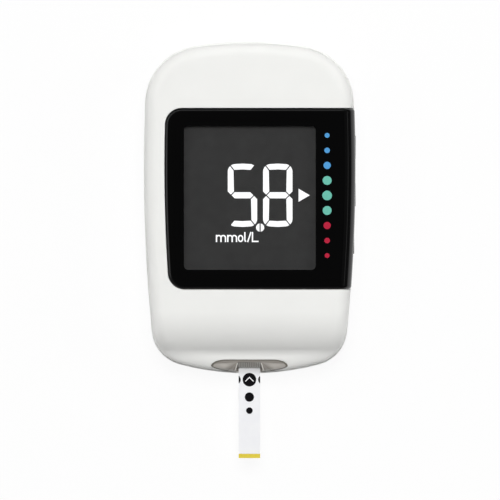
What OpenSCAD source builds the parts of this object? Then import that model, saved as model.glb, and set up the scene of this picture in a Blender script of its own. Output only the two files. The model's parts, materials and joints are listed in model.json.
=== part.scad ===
// Blood glucose meter with a test strip in its port.
// The meter lies on its back: the display faces +Z, the strip port points to -Y and
// X runs to the right of the display. z = 0 is the flat back. Millimetres.

/* [Case outline] */
// Greatest width of the case
case_w = 49.2; // [44.4:0.1:54]
// Length of the case
case_l = 77.2; // [76.4:0.1:82]
// Height over the display panel
case_h = 15.3; // [13.8:0.1:17]
// Where along Y the case is widest
widest_y = 9.6; // [8:0.2:11]
// Radius of the long side arcs
side_r = 400; // [350:10:500]
// Radius of the crown at the top end
top_crown_r = 83; // [70:1:100]
// Radius of the two top corners
top_corner_r = 13.5; // [12.5:0.1:14.5]
// Radius of the crown at the port end
port_crown_r = 63.5; // [58:0.5:75]
// Radius of the two corners at the port end
port_corner_r = 8.75; // [8:0.05:9.5]

/* [Shells] */
// Distance from the front face down to the seam between the two shells
seam_depth = 9.1; // [8.9:0.1:9.2]
// Wall of the front shell
front_wall = 2.0; // [1.8:0.05:2.1]
// Wall of the rear shell
rear_wall = 1.4; // [1.2:0.05:1.5]
// Radius of the front edge
front_edge_r = 2.8; // [2.5:0.1:3.0]
// How far the front walls lean in
draft = 0.3; // [0.1:0.05:0.5]
// How far in the rear edge rounds off
rear_edge_r = 5.5; // [5:0.1:5.8]
// Distance from the port end to the top of the chin slope
chin_l = 14.1; // [13.8:0.1:14.6]
// Radius of the convex part of the chin
chin_r = 10.3; // [10:0.1:11]
// Steepest slope of the chin in degrees
chin_slope = 50; // [48:1:51]
// Radius of the hollow below the chin
hollow_r = 4.05; // [3.8:0.05:4.3]

/* [Display panel] */
// How far the panel stands above the white shell
panel_proud = 0.2; // [0.1:0.05:0.3]
// Thickness of the panel
panel_t = 1.2; // [1.1:0.05:1.3]
// Lower edge of the panel
panel_y0 = -18.85; // [-19.4:0.05:-18.4]
// Upper edge of the panel
panel_y1 = 23.2; // [23:0.05:24.4]
// Distance from the left side of the case to the panel
panel_inset = 4.7; // [4.3:0.1:5]
// Radius of the panel's left corners
panel_corner_r = 3.9; // [3:0.1:5]
// Gap around the panel in its seat
panel_gap = 0.05; // [0.03:0.01:0.08]

/* [Display window] */
// Distance from the side of the case to the clear window
window_side = 9.25; // [8.9:0.05:10]
// Height of the clear window
window_h = 33.5; // [32.5:0.1:33.8]
// Centre of the window along Y
window_y = 2.35; // [2.1:0.05:2.6]
// Corner radius of the window
window_r = 0.9; // [0.5:0.1:2]
// Gap around the window lens
lens_gap = 0.03; // [0.02:0.01:0.06]

/* [Display] */
// How far the display glass reaches past the window on each side
glass_margin = 2.2; // [1.9:0.1:2.3]
// Thickness of the display glass
glass_t = 2.0; // [1.6:0.1:2.1]
// Gap between the window lens and the display glass
glass_gap = 0.2; // [0.15:0.05:0.3]
// Height of a digit
digit_h = 14.8; // [13:0.1:15.5]
// Width of a digit
digit_w = 6.9; // [6:0.1:7.2]
// Width of a digit's bars
bar_w = 1.54; // [1.2:0.02:1.7]
// Gap between two bars
bar_gap = 0.14; // [0.08:0.02:0.2]
// Distance between the centres of the two digits
digit_pitch = 8.2; // [7.9:0.1:8.6]
// Distance from the right side of the window to the middle of the two digits
digits_in = 12.87; // [12.4:0.01:13.8]
// Middle of the digits along Y
digits_y = 2.85; // [2:0.05:4]
// Thickness of the lit figures
figure_t = 0.06; // [0.04:0.01:0.1]
// Radius of the decimal point
point_r = 0.99; // [0.8:0.01:1.1]
// Width of the pointer
pointer_w = 2.6; // [2:0.1:3]
// Height of the pointer
pointer_h = 3.02; // [2.5:0.02:3.4]
// Distance from the right side of the window to the left side of the pointer
pointer_in = 3.92; // [3.4:0.01:4.1]

/* [Range dots] */
// Distance of the row of dots from the right side of the case
dots_inset = 6.54; // [6.3:0.02:6.8]
// Distance between two dots
dots_pitch = 3.49; // [3.3:0.01:3.5]
// Radius of the middle dot
dot_r = 1.19; // [1:0.01:1.3]
// Share that the outermost dots are smaller by
dot_shrink = 0.5; // [0.3:0.05:0.6]
// Depth of a dot in the panel
dot_t = 0.3; // [0.2:0.05:0.4]

/* [Side buttons] */
// Places of the three buttons along Y
buttons_y = [14, 3, -8];
// Length of a button
button_l = 5.6; // [5:0.1:6.5]
// Width of a button
button_w = 2.4; // [2.2:0.1:2.8]
// How far a button stands out
button_proud = 0.1; // [0:0.01:0.4]
// How far a button travels
button_travel = 0.4; // [0.3:0.05:0.4]
// Gap around a button
button_gap = 0.12; // [0.08:0.01:0.2]

/* [Circuit board] */
// Distance from the front face down to the board's underside
board_depth = 7.1; // [7:0.05:7.2]
// Thickness of the board
board_t = 1.0; // [0.9:0.05:1.1]
// Gap between the board and the outside of the case
board_inset = 3.6; // [3.5:0.1:4]

/* [Coin cells] */
// Least distance between the side of the case and a cell
cell_side = 4.4; // [4.3:0.05:4.4]
// Height of a coin cell
cell_t = 3.2; // [2.8:0.1:3.3]
// Gap between the two cells
cell_space = 0.3; // [0.2:0.05:0.4]
// Middle of the cells along Y
cell_y = 13; // [12:0.1:13.5]

/* [Battery door] */
// How far the door reaches past the cell room on each side
door_side = 0.05; // [0:0.01:0.1]
// How far the door reaches past the cell room at each end
door_end = 0.6; // [0.5:0.05:0.8]
// Thickness of the door
door_t = 1.1; // [1:0.05:1.15]
// How far the door lies below the back face
door_sunk = 0.15; // [0.1:0.05:0.2]
// Gap around the door
door_gap = 0.15; // [0.1:0.01:0.2]

/* [Strip port] */
// Width of the port surround
port_w = 17.8; // [17:0.1:19]
// Distance from the end of the case to the upper edge of the surround
port_l = 3.0; // [2.8:0.1:3.2]
// Distance from the front face down to the underside of the strip
strip_depth = 8.3; // [8.25:0.01:8.35]
// Gap around the strip in its slot
strip_gap = 0.15; // [0.12:0.01:0.2]
// Number of ribs above the slot
rib_count = 12; // [6:1:13]

/* [Test strip] */
// Width of the strip
strip_w = 5.0; // [4.6:0.1:5.2]
// Thickness of the strip
strip_t = 0.4; // [0.3:0.05:0.45]
// Length of the strip
strip_l = 33; // [32.5:0.1:34]
// How far the strip reaches out of the case
strip_out = 19.7; // [19:0.1:20.2]
// Width of the yellow dosing edge
dose_l = 1.0; // [0.8:0.1:2]
// Thickness of the printed marks
mark_t = 0.04; // [0.02:0.01:0.06]

/* [Strip ejector] */
// How far the ejector slides
eject_travel = 7; // [5:0.5:7]
// Rear end of the thumb piece at rest
eject_y = -7; // [-7.4:0.1:-6.6]
// Length of the thumb piece
thumb_l = 7; // [6:0.1:7]
// Width of the thumb piece
thumb_w = 2.4; // [2.2:0.1:2.6]
// Distance from the front face down to the middle of the thumb piece
thumb_depth = 6.6; // [6.5:0.05:6.7]
// Gap around the thumb piece
thumb_gap = 0.15; // [0.1:0.01:0.2]

/* [Data socket] */
// Width of the socket
socket_w = 7.6; // [7.4:0.1:8]
// Height of the socket
socket_h = 2.7; // [2.5:0.1:2.9]
// Length of the socket
socket_l = 5.2; // [5:0.1:6]
// How far the socket lies inside the end of the case
socket_sunk = 0.9; // [0.6:0.1:1.2]

/* [Case screws] */
// Distance of the top screws from the side of the case
top_screw_side = 8; // [7.6:0.1:8.6]
// Distance of the top screws from the top end
top_screw_in = 8.8; // [8.4:0.1:9.2]
// Distance of the lower screws from the side of the case
low_screw_side = 9; // [8.6:0.1:9.6]
// Distance of the lower screws from the port end
low_screw_in = 10.4; // [10.2:0.1:10.8]
// Radius of a screw's shank
shank_r = 0.8; // [0.7:0.05:0.9]
// Radius of a screw's head
head_r = 1.7; // [1.5:0.05:1.8]

/* [Hidden] */

top_y = case_l/2;
port_y = -case_l/2;
side_end = case_w/2;
skin_h = case_h - panel_proud;
seam_z = case_h - seam_depth;
board_z = case_h - board_depth;
board_top = board_z + board_t;
strip_z = case_h - strip_depth;
strip_z1 = strip_z + strip_t;
thumb_z = case_h - thumb_depth;
window_w = case_w - 2*window_side;
// Past everything, past a face that is cut, and a gap between faces that meet
far = 2*case_l;
over = 1;
touch = 0.05;
// How far a post or a boss runs into its wall, and the gap around pieces inside
root = 0.3;
clear = 0.3;
$fn = 48;

// ---- Case outline: tangent arcs, each point list runs clockwise from the top ----

crown_steps = 5;
corner_steps = 7;
side_steps = 10;
edge_steps = 5;

side_centre = [side_end - side_r, widest_y];

function crown_r(end) = end > 0 ? top_crown_r : port_crown_r;
function corner_r(end) = end > 0 ? top_corner_r : port_corner_r;
function crown_centre(end) = [0, end*(case_l/2 - crown_r(end))];

// Centre of the corner arc that touches the side arc and the crown arc
function corner_centre(end) =
    let(a = side_centre, b = crown_centre(end))
    let(ra = side_r - corner_r(end), rb = crown_r(end) - corner_r(end))
    let(d = norm(b - a), u = (b - a)/d)
    let(along = (ra*ra - rb*rb + d*d)/(2*d), across = sqrt(ra*ra - along*along))
    a + along*u + end*across*[-u.y, u.x];

function turn(from, to) = atan2(to.y - from.y, to.x - from.x);
function arc(centre, r, from, to, steps) =
    [for (i = [0 : steps - 1])
        let(t = from + (to - from)*i/steps)
        centre + r*[cos(t), sin(t)]];

// Right half of the outline, drawn in by d on every side
function half_outline(d) =
    let(ct = corner_centre(1), cp = corner_centre(-1))
    let(side_top = turn(side_centre, ct), side_port = turn(side_centre, cp))
    let(crown_top = turn(crown_centre(1), ct), crown_port = turn(crown_centre(-1), cp))
    concat(
        arc(crown_centre(1), top_crown_r - d, 90, crown_top, crown_steps),
        arc(ct, top_corner_r - d, crown_top, side_top, corner_steps),
        arc(side_centre, side_r - d, side_top, side_port, side_steps),
        arc(cp, port_corner_r - d, side_port, crown_port, corner_steps),
        arc(crown_centre(-1), port_crown_r - d, crown_port, -90, crown_steps),
        [[0, port_y + d]]);

half_count = 2*crown_steps + 2*corner_steps + side_steps;
ring_count = 2*half_count;

function outline(d) =
    let(half = half_outline(d))
    concat(half, [for (i = [half_count - 1 : -1 : 1]) [-half[i].x, half[i].y]]);

// Half width of the case at a given y, on the side arc
function side_x(y) = side_centre.x + sqrt(side_r*side_r - pow(y - widest_y, 2));

// Height of the white front along Y: level, then the chin, then the level lip
chin_y = port_y + chin_l;
chin_drop_l = chin_r*sin(chin_slope);
lip_l = chin_drop_l + hollow_r*sin(chin_slope);
lip_drop = (chin_r + hollow_r)*(1 - cos(chin_slope));

function chin_drop(t) =
    t <= 0 ? 0 :
    t <= chin_drop_l ? chin_r - sqrt(chin_r*chin_r - t*t) :
    t <= lip_l ? lip_drop - hollow_r + sqrt(hollow_r*hollow_r - pow(lip_l - t, 2)) :
    lip_drop;
function front_z(y) = skin_h - chin_drop(chin_y - y);

// ---- Lofted forms ----

// Joins rings of equal point count, lowest ring first, and closes both ends
module loft(rings) {
    n = ring_count;
    m = half_count;
    last = (len(rings) - 1)*n;
    sides = [for (j = [0 : len(rings) - 2], i = [0 : n - 1])
        let(a = j*n + i, b = j*n + (i + 1) % n)
        each [[a, b, b + n], [a, b + n, a + n]]];
    cap = [for (i = [1 : m - 2])
        let(a = last + i, b = last + i + 1, c = last + n - i - 1, d = last + n - i)
        each [[a, b, c], [a, c, d]]];
    ends = [[last, last + 1, last + n - 1], [last + m - 1, last + m, last + m + 1]];
    base = [[for (i = [n - 1 : -1 : 0]) i]];
    polyhedron([for (r = rings) each r], concat(sides, cap, ends, base));
}

// The front of the case above the seam, grown outwards by g, down to z = low
module front_form(g, low) {
    edge = front_edge_r + g;
    top = skin_h + g;
    steps = [for (k = [0 : edge_steps])
        let(t = 90*k/edge_steps)
        [draft + edge*(1 - cos(t)) - g, top - edge + edge*sin(t)]];
    rings = concat(
        [[for (p = outline(-g)) [p.x, p.y, low]]],
        low < seam_z ? [[for (p = outline(-g)) [p.x, p.y, seam_z]]] : [],
        [for (s = steps)
            [for (p = outline(s[0]))
                let(part = (s[1] - seam_z)/(top - seam_z))
                [p.x, p.y, seam_z + (front_z(p.y) + g - seam_z)*part]]]);
    loft(rings);
}

// The back of the case below the seam, drawn in by d, up to z = high
rear_sink = 0.2;
module rear_form(d, high) {
    edge = rear_edge_r - d;
    depth = seam_z - d + (d > 0 ? 0 : rear_sink);
    rings = concat(
        [for (k = [edge_steps : -1 : 0])
            let(t = 90*k/edge_steps)
            [for (p = outline(d + edge*(1 - cos(t)))) [p.x, p.y, seam_z - depth*sin(t)]]],
        high > seam_z ? [[for (p = outline(d)) [p.x, p.y, high]]] : []);
    loft(rings);
}

// ---- Small helpers ----

module box(x0, x1, y0, y1, z0, z1) {
    translate([x0, y0, z0]) cube([x1 - x0, y1 - y0, z1 - z0]);
}

module rounded_rect(w, h, r) {
    square([w - 2*r, h], center = true);
    square([w, h - 2*r], center = true);
    for (x = [-1, 1], y = [-1, 1]) translate([x*(w/2 - r), y*(h/2 - r)]) circle(r);
}

// A plate with round corners between z0 and z1
module plate(w, h, r, z0, z1) {
    translate([0, 0, z0]) linear_extrude(z1 - z0) rounded_rect(w, h, r);
}

// A bar with round ends along Y and its axis along X, from x0 to x1
module side_slug(l, w, x0, x1) {
    translate([x0, 0, 0]) rotate([90, 0, 90]) linear_extrude(x1 - x0) {
        square([l - w, w], center = true);
        for (s = [-1, 1]) translate([s*(l - w)/2, 0]) circle(w/2);
    }
}

// ---- Display panel outline ----

// The panel seen from the front; it runs off past the right side of the case
function panel_plan(gap) =
    let(c = [-side_centre.x, widest_y], q = side_r - panel_inset + gap, r = panel_corner_r + gap)
    let(y1 = panel_y1 + gap - r, y0 = panel_y0 - gap + r)
    let(c1 = [c.x - sqrt(pow(q - r, 2) - pow(y1 - c.y, 2)), y1])
    let(c0 = [c.x - sqrt(pow(q - r, 2) - pow(y0 - c.y, 2)), y0])
    let(t1 = turn(c, c1), t0 = turn(c, c0) + 360)
    concat([[case_w, panel_y1 + gap]],
        arc(c1, r, 90, t1, 8),
        arc(c, q, t1, t0, 8),
        arc(c0, r, t0, 270, 8),
        [[c0.x, panel_y0 - gap], [case_w, panel_y0 - gap]]);

module panel_prism(gap) {
    linear_extrude(far) polygon(panel_plan(gap));
}

// ---- Case ----

seat_g = panel_proud - panel_t;
glass_w = window_w + 2*glass_margin;
glass_h = window_h + 2*glass_margin;
top_screw_x = side_end - top_screw_side;
low_screw_x = side_end - low_screw_side;
screw_places = concat(
    [for (s = [-1, 1]) [s*top_screw_x, top_y - top_screw_in]],
    [for (s = [-1, 1]) [s*low_screw_x, port_y + low_screw_in]]);
boss_r = 2.2;
pilot_r = shank_r + touch;
pilot_l = 4;

button_rise = 1.3;
button_z = board_top + button_rise;
button_face_x = [for (y = buttons_y) side_x(y) + panel_proud - draft/2 + button_proud];

track_depth = 0.9;
track_x = side_x(eject_y - thumb_l - eject_travel) - track_depth;
track_wall = 1.1;
pad_end = 2;
pad_side = 0.9;
track_y0 = eject_y - thumb_l - eject_travel - thumb_gap;
track_y1 = eject_y + thumb_gap;
neck_w = 1.0;
neck_in = 1.0;

socket_z = board_top + socket_h/2;
socket_y1 = top_y - socket_sunk;
socket_r = 0.7;
socket_gap = 0.5;

// The port surround seen from the front: a bar with elliptical ends
port_end_w = 2.3;
port_end_l = 1.5;
port_mid_y = port_y + port_l - port_end_l;
function port_plan(gap) =
    [for (i = [0 : 31])
        let(t = 360*(i + 0.5)/32, s = cos(t) > 0 ? 1 : -1)
        [s*(port_w/2 - port_end_w) + (port_end_w + gap)*cos(t),
            port_mid_y + (port_end_l + gap)*sin(t)]];

module port_prism(gap) {
    translate([0, 0, seam_z - over]) linear_extrude(far) polygon(port_plan(gap));
}

module front_shell() {
    color([0.94, 0.94, 0.92]) difference() {
        union() {
            difference() {
                front_form(0, seam_z);
                front_form(-front_wall, seam_z - over);
            }
            for (p = screw_places) {
                boss_top = front_z(p.y) - front_wall + root;
                translate([p.x, p.y, seam_z + touch])
                    cylinder(r = boss_r, h = boss_top - seam_z - touch);
            }
            // Flat pad behind the ejector's track
            box(-track_x - touch, -track_x + track_wall, track_y0 - pad_end, track_y1 + pad_end,
                thumb_z - thumb_w/2 - pad_side, thumb_z + thumb_w/2 + pad_side);
        }
        // Seat of the display panel
        intersection() {
            panel_prism(panel_gap);
            difference() {
                box(-far, far, -far, far, 0, far);
                front_form(seat_g - panel_gap, seam_z - over);
            }
        }
        // Opening over the display glass
        translate([0, window_y, 0])
            plate(glass_w + 2*clear, glass_h + 2*clear, window_r, board_z, far);
        // Button holes
        for (i = [0 : 2]) translate([0, buttons_y[i], button_z])
            side_slug(button_l + 2*button_gap, button_w + 2*button_gap, case_w/4, case_w);
        // Ejector track and slot
        box(-case_w, -track_x, track_y0, track_y1,
            thumb_z - thumb_w/2 - thumb_gap, thumb_z + thumb_w/2 + thumb_gap);
        box(-case_w, -track_x + 2*track_wall, track_y0 + neck_in, track_y1 - neck_in,
            thumb_z - neck_w/2 - thumb_gap, thumb_z + neck_w/2 + thumb_gap);
        // Data socket opening
        translate([0, socket_y1, socket_z]) rotate([90, 0, 0])
            plate(socket_w + 2*socket_gap, socket_h + 2*socket_gap, socket_r + socket_gap,
                -over - socket_sunk, 2*front_wall);
        port_prism(touch);
        for (p = screw_places) translate([p.x, p.y, 0]) cylinder(r = pilot_r, h = seam_z + pilot_l);
    }
}

// Coin cells come in these diameters; the case takes the largest pair that fits
cell_sizes = [24.5, 23, 20, 16, 12.5];
cell_d = max([for (d = cell_sizes) if (2*d + cell_space + 2*cell_side <= case_w) d]);
cell_pitch = cell_d + cell_space;
cell_room = 0.2;
cell_z = rear_wall + cell_room;
contact_room = 0.6;
roof_z = cell_z + cell_t + contact_room;
roof_t = 0.7;
room_w = cell_pitch + cell_d + 2*cell_room;
room_y0 = cell_y - cell_d/2 - 2*cell_room;
room_y1 = cell_y + cell_d/2 + 2*cell_room;
room_wall = 0.5;

door_w = room_w + 2*door_side;
door_r = 1.4;
door_y0 = room_y0 - door_end;
door_y1 = room_y1 + door_end;
hinge_r = door_t/2;
hinge_y = door_y0 + door_gap + hinge_r;
hinge_z = door_sunk + hinge_r;
tab_w = 3;
tab_in = 2.5;
tab_x = [-door_w/2 + tab_in, 0, door_w/2 - tab_in];
hook_reach = 1.1;
hook_root = 0.9;
hook_t = 0.6;
hook_gap = 0.1;
latch_h = 1.6;
latch_t = 0.7;
latch_in = 0.2;

head_t = 1.0;
head_sunk = 0.4;
screw_gap = 0.15;
post_r = 1.2;
low_post_side = 7.1;
low_post_in = 33.6;
top_post_side = 5.8;
top_post_in = 12.4;
low_post = [side_end - low_post_side, port_y + low_post_in];
top_post = [side_end - top_post_side, top_y - top_post_in];
post_places = [for (p = [low_post, top_post], s = [-1, 1]) [s*p.x, p.y]];
spring_side = 6.2;
spring_x = spring_side - side_end;
spring_in = 14.3;
spring_y0 = port_y + spring_in;
spring_stop_l = 1.4;
spring_stop_w = 2;

// Plan of the door: square corners on the hinge side, so that its round edge can turn
module door_plan(w, y0, y1, r) {
    translate([0, (y0 + y1)/2]) rounded_rect(w, y1 - y0, r);
    translate([-w/2, y0]) square([w, 2*r]);
}

module rear_shell() {
    color([0.93, 0.93, 0.91]) difference() {
        union() {
            intersection() {
                difference() {
                    rear_form(0, seam_z);
                    rear_form(rear_wall, seam_z + over);
                }
                box(-far, far, -far, far, 0, seam_z + over);
            }
            // Walls and roof of the cell room
            box(-room_w/2 - room_wall, room_w/2 + room_wall,
                door_y0 - root, door_y1 + root, rear_wall/2, roof_z + roof_t);
            for (p = screw_places) translate([p.x, p.y, rear_wall/2])
                cylinder(r = boss_r, h = seam_z - touch - rear_wall/2);
            for (p = post_places) translate([p.x, p.y, rear_wall/2])
                cylinder(r = post_r, h = board_z - touch - rear_wall/2);
            // Stop of the ejector spring
            box(spring_x - spring_stop_w/2, spring_x + spring_stop_w/2,
                spring_y0 - spring_stop_l, spring_y0, rear_wall/2, board_z - 4*touch);
        }
        box(-room_w/2, room_w/2, room_y0, room_y1, rear_wall - touch, roof_z);
        // Door opening
        translate([0, 0, -over]) linear_extrude(over + rear_wall)
            door_plan(door_w + 2*door_gap, door_y0, door_y1, door_r + door_gap);
        // Windows for the door's hooks and for the latch
        for (x = tab_x) box(x - tab_w/2 - clear, x + tab_w/2 + clear,
            door_y0 - over, room_y0 + touch, rear_wall - touch/2, cell_z + cell_t);
        box(-tab_w - clear, tab_w + clear, room_y1 - touch, door_y1 + over,
            rear_wall - touch/2, cell_z + cell_t);
        // Slots for the contact tails
        for (x = [-1, 1]*cell_pitch/2) box(x - rim_w/2 - clear, x + rim_w/2 + clear,
            rim_y1 - contact_t - clear, room_y1, roof_z - over, roof_z + roof_t + over);
        box(-cell_pitch/2 - leaf_w/2 - clear, -cell_pitch/2 + leaf_w/2 + clear,
            leaf_y0 - clear, leaf_y0 + contact_t + clear, roof_z - over, roof_z + roof_t + over);
        for (p = screw_places) translate([p.x, p.y, 0]) {
            translate([0, 0, -over]) cylinder(r = head_r + screw_gap, h = head_t + head_sunk + over);
            cylinder(r = shank_r + screw_gap, h = seam_z + over);
        }
    }
}

// Hinged at its round edge towards the port, on hooks that reach inside the back
groove_r = 0.3;
groove_l = 8;
groove_in = 4;
groove_pitch = 1.2;
module battery_door() {
    z0 = door_sunk;
    z1 = door_sunk + door_t;
    y0 = door_y0 + door_gap;
    y1 = door_y1 - door_gap;
    color([0.93, 0.93, 0.91]) {
        difference() {
            intersection() {
                translate([0, 0, z0]) linear_extrude(door_t) door_plan(door_w, y0, y1, door_r);
                rotate([90, 0, 90]) linear_extrude(door_w, center = true) {
                    translate([hinge_y, hinge_z]) circle(hinge_r);
                    translate([hinge_y, z0]) square([y1 - hinge_y, door_t]);
                }
            }
            // Thumb grooves
            for (i = [0 : 3]) translate([0, y1 - groove_in - groove_pitch*i, z0])
                rotate([0, 90, 0]) cylinder(r = groove_r, h = groove_l, center = true);
        }
        for (x = tab_x) {
            box(x - tab_w/2, x + tab_w/2, y0, y0 + hook_root, hinge_z, rear_wall + hook_gap + hook_t);
            box(x - tab_w/2, x + tab_w/2, y0 - hook_reach, y0 + hook_root,
                rear_wall + hook_gap, rear_wall + hook_gap + hook_t);
        }
        // Latch tongue
        box(-tab_w, tab_w, y1 - latch_in - latch_t, y1 - latch_in, z1 - touch, rear_wall + latch_h);
    }
}

module display_panel() {
    color([0.03, 0.03, 0.03]) difference() {
        intersection() {
            difference() {
                front_form(panel_proud, seam_z);
                front_form(seat_g, seam_z - over);
            }
            panel_prism(0);
        }
        translate([0, window_y, 0])
            plate(window_w + 2*lens_gap, window_h + 2*lens_gap, window_r + lens_gap, seam_z, far);
        for (i = [0 : 2]) translate([0, buttons_y[i], button_z])
            side_slug(button_l + 2*button_gap, button_w + 2*button_gap, case_w/4, case_w);
        for (i = [0 : 8]) dot(i, touch/2, over);
    }
}

module display_lens() {
    color([0.2, 0.2, 0.2]) translate([0, window_y, 0])
        plate(window_w, window_h, window_r, case_h - panel_t, case_h);
}

// ---- Range dots ----

dots_x = side_end - dots_inset;
function dot_radius(i) = dot_r*(1 - dot_shrink*pow(sin(22.5*(i - 4)), 2));
module dot(i, gap, rise) {
    translate([dots_x, digits_y + dots_pitch*(i - 4), case_h - dot_t - gap])
        cylinder(r = dot_radius(i) + gap, h = dot_t + gap + rise);
}
module dots(colour, first) {
    color(colour) for (i = [first : first + 2]) dot(i, 0, 0);
}
module range_dots_low() { dots([0.78, 0.19, 0.31], 0); }
module range_dots_target() { dots([0.4, 0.77, 0.68], 3); }
module range_dots_high() { dots([0.36, 0.62, 0.86], 6); }

// ---- Display ----

glass_z1 = case_h - panel_t - glass_gap;
glass_z0 = glass_z1 - glass_t;
glass_r = 0.3;
digits_x = window_w/2 - digits_in;
pointer_x = window_w/2 - pointer_in;
holder_rim = 1.2;
holder_r = 0.8;
holder_gap = 0.1;
holder_z0 = board_top + touch;
holder_floor = 0.6;
film_t = 0.15;
guide_z0 = holder_z0 + holder_floor + holder_gap + film_t;
guide_z1 = glass_z0 - 0.15;
guide_w = glass_w - 1.8;
guide_y0 = window_y - glass_h/2 + 1.9;
guide_y1 = window_y + glass_h/2 - 1.2;
guide_gap = 0.15;
// The elastomer connector lies below the light guide, the lamps above it
elastomer_l = 1.4;
elastomer_gap = 0.2;
elastomer_in = 0.6;
led_w = 3;
led_l = 0.8;
led_gap = 0.1;
led_in = 6.65;
led_x = guide_w/2 - led_in;

module lcd_glass() {
    color([0.25, 0.26, 0.27]) translate([0, window_y, 0])
        plate(glass_w, glass_h, glass_r, glass_z0, glass_z1);
}

// One bar of a digit lies along X or along Y, with 45 degree ends
module bar(l, along_y) {
    h = bar_w/2;
    s = l/2 - bar_gap;
    rotate(along_y ? 90 : 0)
        polygon([[-s, 0], [-s + h, h], [s - h, h], [s, 0], [s - h, -h], [-s + h, -h]]);
}

// Bars in the order top, upper left, upper right, middle, lower left, lower right, bottom
module digit(x, lit) {
    w = digit_w - bar_w;
    h = (digit_h - bar_w)/2;
    places = [[0, h, false], [-w/2, h/2, true], [w/2, h/2, true], [0, 0, false],
        [-w/2, -h/2, true], [w/2, -h/2, true], [0, -h, false]];
    for (i = [0 : 6]) if (lit[i] == 1) translate([x + places[i].x, digits_y + places[i].y])
        bar(places[i][2] ? h : w, places[i][2]);
}

module lcd_digits() {
    color([1, 1, 1]) translate([0, 0, glass_z1]) linear_extrude(figure_t) {
        digit(digits_x - digit_pitch/2, [1, 1, 0, 1, 0, 1, 1]);
        digit(digits_x + digit_pitch/2, [1, 1, 1, 1, 1, 1, 1]);
        translate([digits_x, digits_y - digit_h/2 - bar_gap]) difference() {
            circle(point_r);
            square([bar_gap, 3*point_r], center = true);
        }
    }
}

module lcd_pointer() {
    color([1, 1, 1]) translate([pointer_x, digits_y, glass_z1]) linear_extrude(figure_t)
        polygon([[0, -pointer_h/2], [0, pointer_h/2], [pointer_w, 0]]);
}

module lcd_holder() {
    color([0.85, 0.85, 0.85]) translate([0, window_y, 0]) difference() {
        plate(glass_w + 2*holder_rim, glass_h + 2*holder_rim, holder_r, holder_z0,
            skin_h - front_wall - 0.15);
        plate(glass_w + 2*holder_gap, glass_h + 2*holder_gap, glass_r + touch,
            glass_z0 - holder_gap, case_h);
        translate([0, -window_y, 0])
            box(-guide_w/2 - guide_gap, guide_w/2 + guide_gap,
                guide_y0 - 2*elastomer_gap - elastomer_l - touch, guide_y1 + led_l + 3*led_gap,
                holder_z0 + holder_floor, case_h);
        // Slots in the floor for the elastomer connector and the lamps
        translate([0, -window_y, 0]) {
            box(-guide_w/2 + elastomer_in/2, guide_w/2 - elastomer_in/2,
                guide_y0 - elastomer_l - elastomer_gap - guide_gap, guide_y0 - touch, 0, case_h);
            box(-guide_w/2 + elastomer_in/2, guide_w/2 - elastomer_in/2,
                guide_y1, guide_y1 + led_l + 2*led_gap, 0, case_h);
        }
    }
}

module light_guide() {
    color([0.9, 0.95, 1, 0.6])
        box(-guide_w/2, guide_w/2, guide_y0, guide_y1, guide_z0, guide_z1);
}

module reflector_film() {
    color([1, 1, 1]) box(-guide_w/2, guide_w/2, guide_y0, guide_y1,
        guide_z0 - touch - film_t, guide_z0 - touch);
}

module backlight_leds() {
    color([1, 0.98, 0.85]) for (x = [-led_x, 0, led_x])
        box(x - led_w/2, x + led_w/2, guide_y1 + led_gap, guide_y1 + led_gap + led_l,
            board_top, guide_z1 - 3*led_gap);
}

module elastomer_connector() {
    color([0.9, 0.6, 0.7]) box(-guide_w/2 + elastomer_in, guide_w/2 - elastomer_in,
        guide_y0 - elastomer_gap - elastomer_l, guide_y0 - elastomer_gap, board_top, glass_z0);
}

// ---- Circuit board and what stands on it ----

board_end = 7.4;
board_y0 = port_y + board_end;

module circuit_board() {
    color([0.1, 0.4, 0.22]) difference() {
        translate([0, 0, board_z]) linear_extrude(board_t) polygon(outline(board_inset));
        box(-far, far, -far, board_y0, 0, far);
        for (p = screw_places) translate([p.x, p.y, board_z - over])
            cylinder(r = boss_r + clear, h = board_t + 2*over);
        // Room for the ejector's slider
        box(-case_w, -track_x + track_wall + slider_room, track_y0 - pad_end - over,
            track_y1 + over, 0, far);
    }
}

chip_w = 7;
chip_t = 1;
chip_side = 13.6;
chip_in = 26.6;
chip_place = [side_end - chip_side, port_y + chip_in];
module processor_chip() {
    color([0.12, 0.12, 0.13]) translate(chip_place)
        plate(chip_w, chip_w, 0.3, board_z - chip_t, board_z);
}

radio_w = 7;
radio_l = 6.4;
radio_t = 1.6;
radio_side = 7.1;
radio_in = 8.4;
radio_place = [radio_side - top_screw_x, top_y - radio_in];
module radio_module() {
    color([0.7, 0.71, 0.73]) translate(radio_place)
        plate(radio_w, radio_l, 0.4, board_top, board_top + radio_t);
}

crystal_w = 3.2;
crystal_l = 1.5;
crystal_t = 0.8;
crystal_shift = [-2, 9.5];
crystal_place = chip_place + crystal_shift;
module quartz_crystal() {
    color([0.8, 0.8, 0.82]) translate(crystal_place)
        plate(crystal_w, crystal_l, crystal_l/3, board_z - crystal_t, board_z);
}

// A row under the board beside the processor and a row on it beside the socket
cap_w = 1.0;
cap_l = 0.6;
cap_t = 0.7;
cap_pitch = 1.8;
low_caps = chip_place - [chip_w, chip_w];
top_cap_side = 11.1;
top_cap_in = 7.2;
top_caps = [top_screw_x - top_cap_side, top_y - top_cap_in];
module capacitors() {
    color([0.72, 0.62, 0.48]) for (i = [0 : 4]) {
        translate([low_caps.x + cap_pitch*i, low_caps.y, board_z - cap_t])
            cube([cap_w, cap_l, cap_t]);
        translate([top_caps.x + cap_pitch*i, top_caps.y, board_top])
            cube([cap_w, cap_l, cap_t]);
    }
}

// Outer face of a button's flange, clear of the wall over its whole length
flange_rim = 0.5;
flange_t = 0.45;
function flange_x(y) =
    let(reach = button_l/2 + flange_rim)
    min(side_x(y - reach), side_x(y + reach)) - front_wall - draft - button_gap;

// Outer face of the switch behind it, just out of reach of the pressed flange
function switch_x(y) = flange_x(y) - flange_t - button_travel - touch;

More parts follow.
